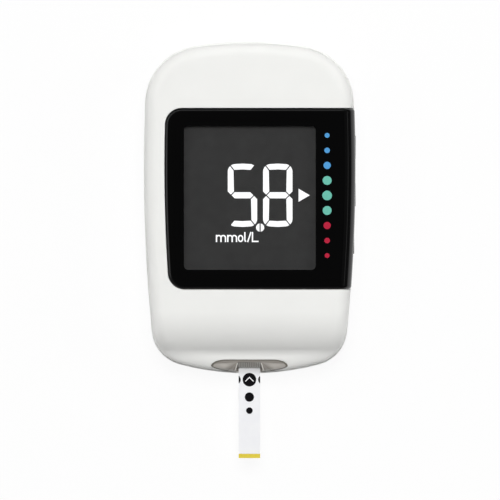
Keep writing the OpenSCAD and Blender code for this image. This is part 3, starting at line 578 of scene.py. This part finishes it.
def fanned(name, dark, light):
    """Satin plastic, with streaks that fan out from the top corners of the throat: a grain in the
    gloss and bumps, and painted sheen in the colour, between a painted shaded tone and a painted
    lit tone.
    """
    fan_x = 2.9
    fan_y = -36.0
    bowl_w = 4.0
    n = new_material(name)
    x, y, z = n.add("SeparateXYZ", {0: n.place()}).outputs
    across = n.maths("SUBTRACT", n.maths("ABSOLUTE", x), fan_x * MM)
    down = n.maths("SUBTRACT", fan_y * MM, y)
    fan = n.maths("ARCTAN2", down, across)
    place = n.add("CombineXYZ", {0: fan, 1: z}).outputs[0]
    streaks = n.add("TexNoise", {"Vector": place, "Scale": 9.0, "Detail": 3.0}).outputs["Fac"]
    # Painted light: the bowl is painted lighter in the middle of the fan, and more so away from the
    # throat
    painted_light = n.maths("MULTIPLY", n.step(fan, 0.0, 0.14), n.step(fan, 0.75, 0.3))
    painted_light = n.maths("MULTIPLY", painted_light, n.step(across, 0.0, bowl_w * MM, 0.25))
    # Painted sheen: the streaks also lighten and darken the colour along the fan
    share = n.maths("ADD", painted_light, n.spread(streaks, -0.16, 0.16))
    share = n.maths("ADD", share, 0.22, use_clamp=True)
    shader = n.add("BsdfPrincipled", {
        "Base Color": n.mix(share, rgba(dark), rgba(light)),
        "Roughness": n.spread(streaks, 0.26, 0.36),
        "Normal": n.bump(streaks, 0.01, n.rounded(0.12)),
    })
    return n.finish(shader)


def strip_film(name):
    """White film, with painted shade that turns it grey towards the port, where the meter shades
    it.
    """
    n = new_material(name)
    cloud = n.noise(0.4, 3.0)
    along = n.add("SeparateXYZ", {0: n.place()}).outputs["Y"]
    # Painted shade: grey where the film runs into the port, white further out
    port_shade = n.step(along, (port_y - 2) * MM, (port_y + 1) * MM)
    white = n.mix(n.spread(cloud, 0, 1), (0.90, 0.905, 0.93, 1), (0.93, 0.935, 0.95, 1))
    shader = n.add("BsdfPrincipled", {
        "Base Color": n.mix(port_shade, white, (0.74, 0.74, 0.75, 1)),
        "Roughness": n.spread(cloud, 0.28, 0.36),
        "Normal": n.bump(cloud, 0.002),
        "Specular IOR Level": 0.4,
    })
    return n.finish(shader)


materials = {
    "white_shell": moulded("satin_white", (0.865, 0.867, 0.845), 0.45, mottle=0.008,
                           depth=0.0012, soft_edge=0.12, specular=0.2),
    "black_gloss": moulded("piano_black", (0.0015, 0.0015, 0.0016), 0.05, grain=0.6,
                           depth=0.0004),
    "smoked_lens": clear_lens("smoked_window"),
    # The surround's dark and light tones are painted shade and painted light on its bowls
    "port_grey": fanned("port_grey", (0.25, 0.228, 0.203), (0.50, 0.475, 0.44)),
    "port_rim": moulded("port_rim", (0.19, 0.18, 0.155), 0.3, mottle=0.1),
    # Pale edges beside the throat: a painted highlight
    "port_edge": moulded("port_edge", (0.72, 0.70, 0.66), 0.25, mottle=0.03),
    "port_rib": moulded("port_rib", (0.56, 0.555, 0.52), 0.4, mottle=0.05),
    "button_black": moulded("button_black", (0.012, 0.012, 0.013), 0.35),
    "steel": metal("screw_steel", (0.62, 0.62, 0.63), 0.32),
    "nickel": metal("spring_nickel", (0.66, 0.62, 0.5), 0.3, stretch=(1, 0.2, 1)),
    "cell_can": metal("brushed_can", (0.62, 0.62, 0.63), 0.3, stretch=(1, 0.1, 1)),
    "gold": metal("plated_gold", (0.86, 0.62, 0.26), 0.42, depth=0.0003),
    "switch_grey": moulded("switch_grey", (0.06, 0.06, 0.065), 0.5),
    "ivory": moulded("ivory", (0.72, 0.70, 0.62), 0.5),
    "display_glass": moulded("display_black", (0.054, 0.054, 0.054), 0.5, mottle=0.02,
                             specular=0.1),
    "lit_white": lit("lit_white", (0.98, 0.99, 1.0), 1.4),
    "dot_blue": moulded("dot_blue", (0.086, 0.335, 0.68), 0.45, specular=0.3),
    "dot_green": moulded("dot_green", (0.15, 0.52, 0.415), 0.45, specular=0.3),
    "dot_red": moulded("dot_red", (0.485, 0.018, 0.05), 0.45, specular=0.3),
    "holder_white": moulded("holder_white", (0.7, 0.7, 0.68), 0.5),
    "clear_guide": moulded("clear_guide", (0.85, 0.9, 0.92), 0.1),
    "film_white": moulded("film_white", (0.88, 0.88, 0.88), 0.35),
    "lamp": moulded("lamp_phosphor", (0.9, 0.85, 0.55), 0.5),
    "elastomer": moulded("elastomer", (0.6, 0.25, 0.35), 0.6),
    "board_green": moulded("solder_mask", (0.01, 0.13, 0.05), 0.35, mottle=0.12),
    "chip_black": moulded("chip_black", (0.015, 0.015, 0.016), 0.6),
    "can_silver": metal("can_silver", (0.7, 0.7, 0.72), 0.25),
    "ceramic_tan": moulded("ceramic_tan", (0.45, 0.33, 0.2), 0.6),
    "strip_white": strip_film("strip_white"),
    "strip_yellow": moulded("strip_yellow", (0.80, 0.64, 0.07), 0.35),
    "print_black": moulded("print_black", (0.006, 0.0055, 0.007), 0.6, specular=0.1),
}
for node, part in frame["nodes"].items():
    for place in part.material_slots:
        place.link = "OBJECT"
        place.material = materials[SLOTS[node]]


# ---- White front of the case ----

def panel_arcs(inset):
    """The two corners of the panel and the side arc that joins them, drawn in by inset."""
    centre = Vector((-SIDE_CENTRE.x, widest_y))
    side = side_r - panel_inset
    reach = side - panel_corner_r
    y1 = panel_y1 - panel_corner_r
    y0 = panel_y0 + panel_corner_r
    top = Vector((centre.x - math.sqrt(reach**2 - (y1 - centre.y) ** 2), y1))
    low = Vector((centre.x - math.sqrt(reach**2 - (y0 - centre.y) ** 2), y0))
    t1 = turn(centre, top) % (2 * math.pi)
    t0 = turn(centre, low) % (2 * math.pi)
    return (
        arc(top, panel_corner_r - inset, math.pi / 2, t1, 14)
        + arc(centre, side - inset, t1, t0, 12)
        + arc(low, panel_corner_r - inset, t0, 1.5 * math.pi, 14, close=True)
    )


def button_hole(y):
    length = button_l + 2 * button_gap
    width = button_w + 2 * button_gap
    slug = prism("button_hole", rounded_plan(length, width, width / 2), case_w / 4, case_w)
    return turned(slug, (90, 0, 90), (0, y, button_z))


def button_holes():
    return [button_hole(y) for y in buttons_y]


def panel_seat():
    """The room that the panel takes in the front, a little larger than the panel."""
    gap = panel_gap
    plan = [(case_w, panel_y1 + gap)] + panel_arcs(-gap) + [(case_w, panel_y0 - gap)]
    seat = prism("seat", plan, seam_z - 3 * over, high_up)
    under = front_rings(panel_proud - panel_t - gap, seam_z - over, fine=False)
    return cut(seat, join_rings("seat_floor", under, level_strips))


def port_edge(t, gap):
    """A point on the edge of the surround, grown by gap, at the turn t."""
    c = math.cos(t)
    s = math.sin(t)
    if s >= 0:
        side = math.copysign(port_w / 2 - port_end_w, c)
        return side + (port_end_w + gap) * c, port_mid_y + (port_end_l + gap) * s
    x = math.copysign(abs(c) ** port_power, c) * (port_w / 2 + gap)
    return x, port_mid_y - (port_low_l + gap) * abs(s) ** port_power


def port_plan(gap):
    steps = 96
    return [port_edge(2 * math.pi * (i + 0.5) / steps, gap) for i in range(steps)]


def glass_opening():
    """The opening under the panel that the display's glass sits in."""
    plan = rounded_plan(glass_w + 2 * glass_gap, glass_h + 2 * glass_gap, window_r, (0, window_y))
    return prism("opening", plan, seam_z, high_up)


def slider_track():
    """The recess that the ejector's slider moves in."""
    low_y = eject_y - thumb_l - eject_travel
    depth = side_x(low_y) - track_depth
    reach = thumb_w / 2 + thumb_gap
    return box("track", (-case_w, -depth), (low_y - thumb_gap, eject_y + thumb_gap),
               (thumb_z - reach, thumb_z + reach))


def socket_opening():
    """The opening in the top end for a data plug."""
    opening = prism("socket_opening", rounded_plan(socket_w, socket_h, socket_r),
                    -2 * over, socket_depth)
    return turned(opening, (90, 0, 0), (0, top_y, (socket_low.z + socket_high.z) / 2))


def front_shell():
    shell = join_rings("front_shell_skin", front_rings(0, seam_z), level_strips)
    inside = front_rings(-front_wall, seam_z - over, fine=False)
    hollow = join_rings("hollow", inside, level_strips)
    port = prism("port_opening", port_plan(0.05), seam_z - over, high_up)
    cut(shell, hollow, panel_seat(), glass_opening(), *button_holes(), slider_track(),
        socket_opening(), port)
    smooth(shell, 28)
    dress(shell, "front_shell", materials["white_shell"])


# ---- Glossy display panel ----

face_x = -12
face_steps = 5
fillet_steps = 16
wall_steps = 3
panel_insets = [0, 0.015, 0.04, 0.08, 0.14, 0.22, 0.32, 0.44, 0.56, 0.68, panel_round]


def section(y):
    """Points and outward normals of the panel's face at y, from the left to the seam."""
    edge = panel_side_r
    side = side_x(y, -panel_proud)
    fillet_x = side - edge
    flat = []
    for j in range(face_steps + 1):
        x = face_x + (fillet_x - face_x) * j / face_steps
        flat.append(((x, y, case_h), (0, 0, 1)))
    fillet = []
    for k in range(1, fillet_steps + 1):
        t = math.pi / 2 * (1 - k / fillet_steps)
        way = Vector((math.cos(t), 0, math.sin(t)))
        fillet.append((Vector((fillet_x, y, case_h - edge)) + edge * way, way))
    wall = []
    for k in range(1, wall_steps + 1):
        z = case_h - edge + (seam_z - case_h + edge) * k / wall_steps
        wall.append(((side, y, z), (1, 0, 0)))
    return flat + fillet + wall


def sunk_section(y, depth):
    return [Vector(p) - depth * Vector(normal) for p, normal in section(y)]


def panel_loop(inset, depth):
    """The panel's border drawn in by inset, and sunk by depth, from the seam round to the seam."""
    left = [Vector((p.x, p.y, case_h - depth)) for p in panel_arcs(inset)]
    over_top = sunk_section(panel_y1 - inset, depth)[::-1]
    over_low = sunk_section(panel_y0 + inset, depth)
    return over_top + left + over_low


def panel_rows(inset, depth):
    """Level rows inside the innermost border, each from the left border to the seam."""
    rows = []
    for p in panel_arcs(inset):
        rows.append([Vector((p.x, p.y, case_h - depth))] + sunk_section(p.y, depth))
    return rows


def panel_sheet(points, faces, insets, depth):
    """Adds one side of the panel; returns its outer border and its three ends at the seam."""
    def added(row):
        start = len(points)
        points.extend(row)
        return range(start, len(points))

    loops = []
    for inset in insets[:-1]:
        # The face's border is a quarter round; the back is level
        drop = panel_round - math.sqrt(panel_round**2 - (panel_round - inset) ** 2)
        loops.append(added(panel_loop(inset, depth or drop)))
    grid = [added(row) for row in panel_rows(insets[-1], depth)]
    loops.append(list(grid[0])[:0:-1] + [row[0] for row in grid] + list(grid[-1])[1:])
    for a, b in zip(loops, loops[1:]):
        for i in range(len(a) - 1):
            faces.append((a[i], a[i + 1], b[i + 1], b[i]))
    for a, b in zip(grid, grid[1:]):
        for i in range(len(a) - 1):
            faces.append((a[i], b[i], b[i + 1], a[i + 1]))
    ends = [[loop[-1] for loop in loops], [loop[0] for loop in loops], [row[-1] for row in grid]]
    return loops[0], ends


def panel_blank():
    """The panel before its window, holes and pockets are cut."""
    points = []
    faces = []
    outer, outer_ends = panel_sheet(points, faces, panel_insets, 0)
    inner, inner_ends = panel_sheet(points, faces, [0, panel_round], panel_t)
    for i in range(len(outer) - 1):
        faces.append((outer[i], inner[i], inner[i + 1], outer[i + 1]))
    # The edge along the seam: its two corners, and the rows between them
    for a, b in zip(outer_ends[:2], inner_ends[:2]):
        faces.append(tuple(a) + tuple(b[::-1]))
    a, b = outer_ends[2], inner_ends[2]
    for i in range(len(a) - 1):
        faces.append((a[i], a[i + 1], b[i + 1], b[i]))
    return mesh_piece("display_panel_skin", points, faces)


def display_panel():
    panel = panel_blank()
    lap = window_lap
    plan = rounded_plan(window_w - 2 * lap, window_h - 2 * lap, window_r - lap,
                        (window_x, window_y))
    window = prism("window", plan, seam_z, high_up)
    pockets = [prism("pocket", dot_plan(i), case_h - dot_t, case_h + 2 * over)
               for i in range(dot_count)]
    cut(panel, window, *button_holes(), *pockets)
    smooth(panel, 35)
    dress(panel, "display_panel", materials["black_gloss"])


def dot_plan(i):
    """The outline of one dot of the range scale, counted from the lowest."""
    from_middle = i - (dot_count - 1) / 2
    radius = dot_r * (1 - dot_shrink * math.sin(dot_turn * from_middle) ** 2)
    return circle_plan((dots_x, dots_y + dots_pitch * from_middle), radius)


def range_dots():
    nodes = ["range_dots_low", "range_dots_target", "range_dots_high"]
    each = dot_count // len(nodes)
    for k, node in enumerate(nodes):
        plans = [dot_plan(i) for i in range(each * k, each * (k + 1))]
        piece = flat_piece(node + "_skin", plans, case_h - dot_t, case_h)
        dress(piece, node, materials[SLOTS[node]])


# ---- Strip port ----

slot_w = 5.3
slot_z0 = 6.9
slot_z1 = 7.6
slot_l = 8

# The throat slopes down from throat_y to mouth_y, and flares to the outside
throat_y = -35.9
mouth_y = -37.2
lip_z = front_z(port_mid_y)
flare = 0.65

rib_count = 12
rib_w = 0.16

rim_thin = 0.13
rim_broad = 0.36
rim_proud = 0.04
rim_low = math.radians(-50)
rim_high = math.radians(230)

bead_r = 0.13
bead_in = 0.1
bead_out = 0.62


def port_slot():
    """The room that the strip slides in."""
    start = port_y - 2 * over
    return box("slot", (-slot_w / 2, slot_w / 2), (start, start + slot_l), (slot_z0, slot_z1))


def port_rim():
    """The darker border of the surround: thin along the top, broad round both ends."""
    steps = 120
    outer = []
    inner = []
    for k in range(steps + 1):
        t = rim_low + (rim_high - rim_low) * k / steps
        width = rim_thin + rim_broad * abs(math.cos(t)) ** 1.5
        if math.sin(t) < 0:
            width *= 1 + 0.8 * math.sin(t) / math.sin(math.radians(52))
        outer.append(port_edge(t, 0))
        inner.append(port_edge(t, -width))
    rim = join_rings("port_rim", front_rings(rim_proud, seam_z + 0.3), level_strips)
    combine(rim, "INTERSECT", prism("rim_plan", outer + inner[::-1], seam_z, high_up))
    return cut(rim, port_slot())


def throat():
    """The room above the strip: a slope at the back and sides that flare to the end."""
    inner_w = slot_w / 2
    mouth_w = inner_w + 0.3 * flare
    outer_w = inner_w + flare
    low = slot_z0 + 0.05
    high = lip_z + over
    end = port_y - over

    def ring(side):
        return [(side * inner_w, throat_y, high), (side * inner_w, throat_y, lip_z),
                (side * mouth_w, mouth_y, slot_z1), (side * mouth_w, mouth_y, low),
                (side * outer_w, end, low), (side * outer_w, end, high)]
    return join_rings("throat", [ring(-1), ring(1)])


def scoop(side):
    """A shallow bowl on one side of the throat."""
    centre = Vector((side * 5.75, port_y + 1.1, lip_z + 0.75))
    radii = Vector((2.7, 1.6, 1.15))
    levels = 24
    steps = 48
    rings = []
    for k in range(1, levels):
        a = math.pi * k / levels
        ring = []
        for i in range(steps):
            b = 2 * math.pi * i / steps
            way = Vector((math.sin(a) * math.cos(b), math.sin(a) * math.sin(b), -math.cos(a)))
            ring.append(centre + way * radii)
        rings.append(ring)
    return join_rings("scoop", rings)


def rib(i):
    """A fin on the slope above the strip."""
    x = (i + 0.5 - rib_count / 2) * (slot_w - rib_w) / rib_count
    top = lip_z - 0.25
    foot = slot_z1 + 0.1
    profile = [(throat_y + 0.1, top), (mouth_y + 0.1, foot),
               (mouth_y - 0.2, foot), (throat_y - 0.2, top)]
    rings = [[(x + side * rib_w / 2, y, z) for y, z in profile] for side in (-1, 1)]
    return join_rings(f"port_rib_{i + 1}", rings)


def lip_top(y):
    """Height of the rounded front edge in the middle of the port."""
    inset = min(max(y - port_y - draft, 0), front_edge_r)
    rise = math.sin(math.acos(1 - inset / front_edge_r))
    part = (skin_h - front_edge_r + front_edge_r * rise - seam_z) / (skin_h - seam_z)
    return seam_z + (front_z(y) - seam_z) * part


def edge_bead(side):
    """A rounded edge beside the throat, which follows the lip down; its pale colour is a painted
    highlight.
    """
    start = throat_y - 0.25
    end = port_y + 0.5
    length_steps = 12
    round_steps = 8
    rings = []
    for i in range(length_steps + 1):
        share = i / length_steps
        x = side * (slot_w / 2 + bead_in + (bead_out - bead_in) * share)
        y = start + (end - start) * share
        centre = Vector((x, y, lip_top(y) - 0.05))
        turns = [2 * math.pi * k / round_steps for k in range(round_steps)]
        rings.append([centre + bead_r * Vector((math.cos(t), 0, math.sin(t))) for t in turns])
    return join_rings("edge_bead", rings)


def port_surround():
    body = join_rings("port_surround_skin", front_rings(-0.05, seam_z + 0.05), level_strips)
    combine(body, "INTERSECT", prism("port_block", port_plan(-0.02), seam_z - over, high_up))
    cut(body, port_slot(), throat(), scoop(-1), scoop(1))
    smooth(body, 40)
    dress(body, "port_surround", materials["port_grey"])
    detail(smooth(port_rim(), 60), materials["port_rim"], "port_grey")
    for side in (-1, 1):
        detail(smooth(edge_bead(side), 50), materials["port_edge"], "port_grey")
    for i in range(rib_count):
        detail(rib(i), materials["port_rib"], "port_grey")


# ---- Display ----

figure_z = size_of("lcd_digits")[0].z
figure_t = 0.05
digit_w = 6.82
digit_h = 14.5
digit_pitch = 8.2
digits_x = 2.49
digits_y = 2.85
bar_w = 1.42
bar_gap = 0.26
digit_r = 1.75
digit_bow = 0.1
mitre = math.radians(50)
tip_gap = 0.7 * bar_gap
point_r = 0.95
point_drop = 0.26


def flat_piece(name, plans, low, high):
    """Several outlines as thin prisms in one piece."""
    points = []
    faces = []
    for plan in plans:
        start = len(points)
        count = len(plan)
        points += [(p[0], p[1], low) for p in plan] + [(p[0], p[1], high) for p in plan]
        faces.append(tuple(range(start, start + count)))
        faces.append(tuple(range(start + count, start + 2 * count))[::-1])
        for i in range(count):
            j = (i + 1) % count
            faces.append((start + i, start + count + i, start + count + j, start + j))
    return mesh_piece(name, points, faces)


def end_bar():
    """The top bar of a digit: round outer corners, mitred ends, a slight bow."""
    corner = Vector((digit_w / 2 - digit_r, digit_h / 2 - digit_r))
    inner = Vector((digit_w / 2 - bar_w, digit_h / 2 - bar_w))
    slip = bar_gap / 2 * Vector((-math.sin(mitre), math.cos(mitre)))
    start = mitre + bar_gap / 2 / digit_r
    right = arc(corner, digit_r, start, math.pi / 2, 8, close=True)
    inner_right = inner + slip
    half = [inner_right] + right + [Vector((0, digit_h / 2 + digit_bow))]
    mirrored = [Vector((-p.x, p.y)) for p in half[-2::-1]]
    return half + mirrored + [Vector((0, inner_right.y + digit_bow))]


def side_bar():
    """The upper right bar of a digit, with a pointed lower end."""
    corner = Vector((digit_w / 2 - digit_r, digit_h / 2 - digit_r))
    inner = Vector((digit_w / 2 - bar_w, digit_h / 2 - bar_w))
    slip = bar_gap / 2 * Vector((math.sin(mitre), -math.cos(mitre)))
    right = arc(corner, digit_r, 0, mitre - bar_gap / 2 / digit_r, 8, close=True)
    tip = Vector((digit_w / 2 - bar_w / 2, tip_gap))
    outer_low = tip + Vector((bar_w / 2, bar_w / 2))
    inner_low = tip + Vector((-bar_w / 2, bar_w / 2))
    return [tip, outer_low] + right + [inner + slip, inner_low]


def middle_bar():
    """The middle bar of a digit, pointed at both ends."""
    x = digit_w / 2 - bar_w / 2 - tip_gap
    h = bar_w / 2
    corners = [(-x, 0), (-x + h, -h), (x - h, -h), (x, 0), (x - h, h), (-x + h, h)]
    return [Vector(p) for p in corners]


def digit(x, lit_bars=None):
    """The lit bars of a digit with its middle at x, as outlines."""
    def flip(plan, sx, sy):
        return [Vector((sx * p.x, sy * p.y)) for p in plan]

    shapes = {
        "top": end_bar(), "low": flip(end_bar(), 1, -1), "middle": middle_bar(),
        "top_right": side_bar(), "top_left": flip(side_bar(), -1, 1),
        "low_right": flip(side_bar(), 1, -1), "low_left": flip(side_bar(), -1, -1),
    }
    return [[p + Vector((x, digits_y)) for p in shapes[name]] for name in lit_bars or shapes]


def point_halves():
    """The decimal point, split down its middle."""
    centre = Vector((digits_x, digits_y - digit_h / 2 - point_drop))
    lean = math.asin(0.55 * bar_gap / point_r)
    halves = []
    for start in (-math.pi / 2 + lean, math.pi / 2 + lean):
        halves.append(arc(centre, point_r, start, start + math.pi - 2 * lean, 16, close=True))
    return halves


def digits():
    plans = digit(digits_x - digit_pitch / 2, ["top", "top_left", "middle", "low_right", "low"])
    plans += digit(digits_x + digit_pitch / 2)
    piece = flat_piece("lcd_digits_skin", plans + point_halves(), figure_z, figure_z + figure_t)
    dress(piece, "lcd_digits", materials["lit_white"])


# Unit text: strokes of one width but for the thinner slash, and heights above its base line
stroke = 0.31
slash = 0.3
x_height = 1.68
ascender = 2.34
unit_y = -8.03


def ribbon(path, width):
    """A stroke of even width along a path of 2D points, as one outline."""
    path = [Vector(p) for p in path]
    ways = [(b - a).normalized() for a, b in zip(path, path[1:])]
    left = []
    right = []
    for p, before, after in zip(path, ways[:1] + ways, ways + ways[-1:]):
        along = (before + after).normalized()
        side = Vector((-along.y, along.x))
        reach = width / 2 / max(0.5, side.dot(Vector((-after.y, after.x))))
        left.append(p + reach * side)
        right.append(p - reach * side)
    return left + right[::-1]


def letter_m(x, width):
    """A stem and two arches, from the letter's left edge at x."""
    h = stroke / 2
    reach = (width - stroke) / 2
    plans = [ribbon([(x + h, unit_y), (x + h, unit_y + x_height)], stroke)]
    for i in range(2):
        left = x + h + reach * i
        right = left + reach
        r = reach / 2
        top = Vector(((left + right) / 2, unit_y + x_height - h - r))
        bend = arc(top, r, math.pi, 0, 10, close=True)
        plans.append(ribbon(bend + [(right, unit_y)], stroke))
    return plans


def letter_o(x, width):
    """Two half rings, from the letter's left edge at x."""
    steps = 12
    mid_x = x + width / 2
    mid_y = unit_y + x_height / 2
    rx = width / 2 - stroke / 2
    ry = x_height / 2 - stroke / 2
    plans = []
    for start in (0, math.pi):
        turns = [start + math.pi * k / steps for k in range(steps + 1)]
        path = [(mid_x + rx * math.cos(t), mid_y + ry * math.sin(t)) for t in turns]
        plans.append(ribbon(path, stroke))
    return plans


def letter_l(x):
    """A stem with a hooked foot, from the letter's left edge at x."""
    hook = [(0, ascender), (0, 0.45), (0.1, 0.25), (0.3, stroke / 2)]
    return [ribbon([(x + stroke / 2 + dx, unit_y + dy) for dx, dy in hook], stroke)]


def unit_text():
    """The unit beside the figures, in plain strokes."""
    h = stroke / 2
    slash_x = -0.42
    slash_lean = 0.78
    capital_x = 0.56
    capital_w = 1.56
    plans = letter_m(-7.8, 2.40) + letter_m(-5.17, 2.33) + letter_o(-2.70, 1.31)
    plans += letter_l(-1.21)
    plans.append(ribbon([(slash_x, unit_y), (slash_x + slash_lean, unit_y + ascender)], slash))
    plans.append(ribbon([(capital_x + h, unit_y + ascender), (capital_x + h, unit_y)], stroke))
    plans.append(ribbon([(capital_x, unit_y + h), (capital_x + capital_w, unit_y + h)], stroke))
    piece = flat_piece("unit_text", plans, figure_z, figure_z + figure_t)
    detail(piece, materials["lit_white"], "lit_white")


def lens():
    """The window; its border lies in the panel, just under the face."""
    sunk = 0.01
    plan = rounded_plan(window_w, window_h, window_r, (window_x, window_y))
    piece = prism("display_lens_skin", plan, lens_low.z, lens_high.z - sunk)
    smooth(piece, 40)
    dress(piece, "display_lens", materials["smoked_lens"])


def ejector_spring():
    """The spring behind the ejector, which shortens in the meter as the slider is pushed; here a
    smooth shaded copy with a mesh of its own.
    """
    spring = refined("ejector_spring", materials["nickel"], 0)
    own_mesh(spring)


front_shell()
display_panel()
range_dots()
digits()
unit_text()
lens()
refined("rear_shell", materials["white_shell"], 0)
refined("battery_door", materials["white_shell"], 0)
port_surround()
for node in ("power_button", "up_button", "down_button"):
    refined(node, materials["button_black"], 0.2)
refined("ejector_slider", materials["white_shell"], 0.1)
refined("usb_socket", materials["steel"], 0.08)
refined("case_screws", materials["steel"], 0.08)
ejector_spring()


# ---- Studio ----

def camera():
    """Looks straight down from afar; frame_w is the picture's width at the subject's height."""
    height = 4.0
    subject_z = 0.008
    frame_w = 0.11636
    aim_x = 0.00014
    aim_y = -0.00987
    data = bpy.data.cameras.new("camera")
    data.sensor_width = 36
    data.lens = data.sensor_width * (height - subject_z) / frame_w
    data.clip_end = 30
    piece = link("camera", data)
    piece.location = (aim_x, aim_y, height)
    bpy.context.scene.camera = piece


def lamp(name, azimuth, tilt, distance, size, power):
    """A soft square lamp aimed at the object, tilted from the zenith."""
    data = bpy.data.lights.new(name, "AREA")
    data.shape = "SQUARE"
    data.size = size
    data.energy = power
    piece = link(name, data)
    a = math.radians(azimuth)
    t = math.radians(tilt)
    way = Vector((math.sin(t) * math.cos(a), math.sin(t) * math.sin(a), math.cos(t)))
    piece.location = way * distance
    piece.rotation_euler = way.to_track_quat("Z", "Y").to_euler()
    piece.visible_camera = False
    piece.visible_glossy = False


def world():
    """A bright tent round the object; its parts are told by the direction that light comes from."""
    sky = 0.5
    ring = 4.5
    n = Nodes(bpy.data.worlds.new("studio"), "OutputWorld")
    x, y, z = n.add("SeparateXYZ", {0: n.add("TexCoord").outputs["Generated"]}).outputs

    def both(a, b):
        return n.maths("MULTIPLY", a, b)

    def dimmed(value, share):
        return both(value, n.maths("SUBTRACT", 1.0, share))

    # Even, but dark straight above, and dimmer at the far end, the near end and the right
    level = n.step(z, 0.965, 0.925, 0.03, sky)
    far = n.step(y, 0.1, 0.6, 0.0, 0.75)
    near = both(n.step(y, -0.03, -0.4), n.step(z, 0.16, 0.4, 0.0, 0.96))
    right = both(n.step(x, 0.12, 0.35), n.step(z, 0.05, 0.2, 0.0, 0.87))
    # A narrow bright ring between two heights, which the rounded edges mirror
    band = both(n.step(z, 0.60, 0.625), n.step(z, 0.675, 0.65, 0.0, ring))
    band = dimmed(band, both(near, 0.8))
    level = dimmed(dimmed(level, far), near)
    level = dimmed(n.maths("ADD", level, band), right)
    # Light from below, for views of the underside
    level = n.maths("MAXIMUM", level, n.step(z, 0.0, -0.02, 0.0, 0.85))
    light = n.add("Background", {"Color": (1, 1, 1, 1), "Strength": level})
    bpy.context.scene.world = n.finish(light)


def floor_white():
    """White to the eye and to mirrors, dim paper to other light."""
    seen_share = 0.92
    clear_below = 0.6
    n = new_material("floor_white")
    path = n.add("LightPath").outputs
    seen = n.maths("MAXIMUM", path["Is Camera Ray"], path["Is Glossy Ray"])
    seen = n.maths("MAXIMUM", seen, path["Is Transmission Ray"])
    plain = n.add("Emission", {"Color": (1, 1, 1, 1), "Strength": 1.0})
    paper = n.add("BsdfDiffuse", {"Color": (0.9, 0.9, 0.9, 1)})
    top = n.blend(n.maths("MULTIPLY", seen, seen_share), paper, plain)
    # Clear from below, and for the short way from the underside of the object to the floor
    below = n.add("NewGeometry").outputs["Backfacing"]
    close = n.maths("LESS_THAN", path["Ray Length"], clear_below * MM)
    clear = n.add("BsdfTransparent")
    return n.finish(n.blend(n.maths("MAXIMUM", below, close), top, clear))


def floor():
    """A wide disc that faces up, just under the object."""
    radius = 6000
    floor_z = -0.2
    edge = [Vector((p.x, p.y, floor_z)) * MM for p in circle_plan((0, 0), radius, 64)]
    mesh = bpy.data.meshes.new("floor")
    mesh.from_pydata(edge, [], [tuple(range(len(edge)))])
    mesh.materials.append(floor_white())
    link("floor", mesh)


camera()
world()
floor()
lamp("top", azimuth=90, tilt=17, distance=1.0, size=0.4, power=6.95)
lamp("right", azimuth=10, tilt=60, distance=0.8, size=0.3, power=1.4)

bpy.context.scene.view_settings.view_transform = "Standard"
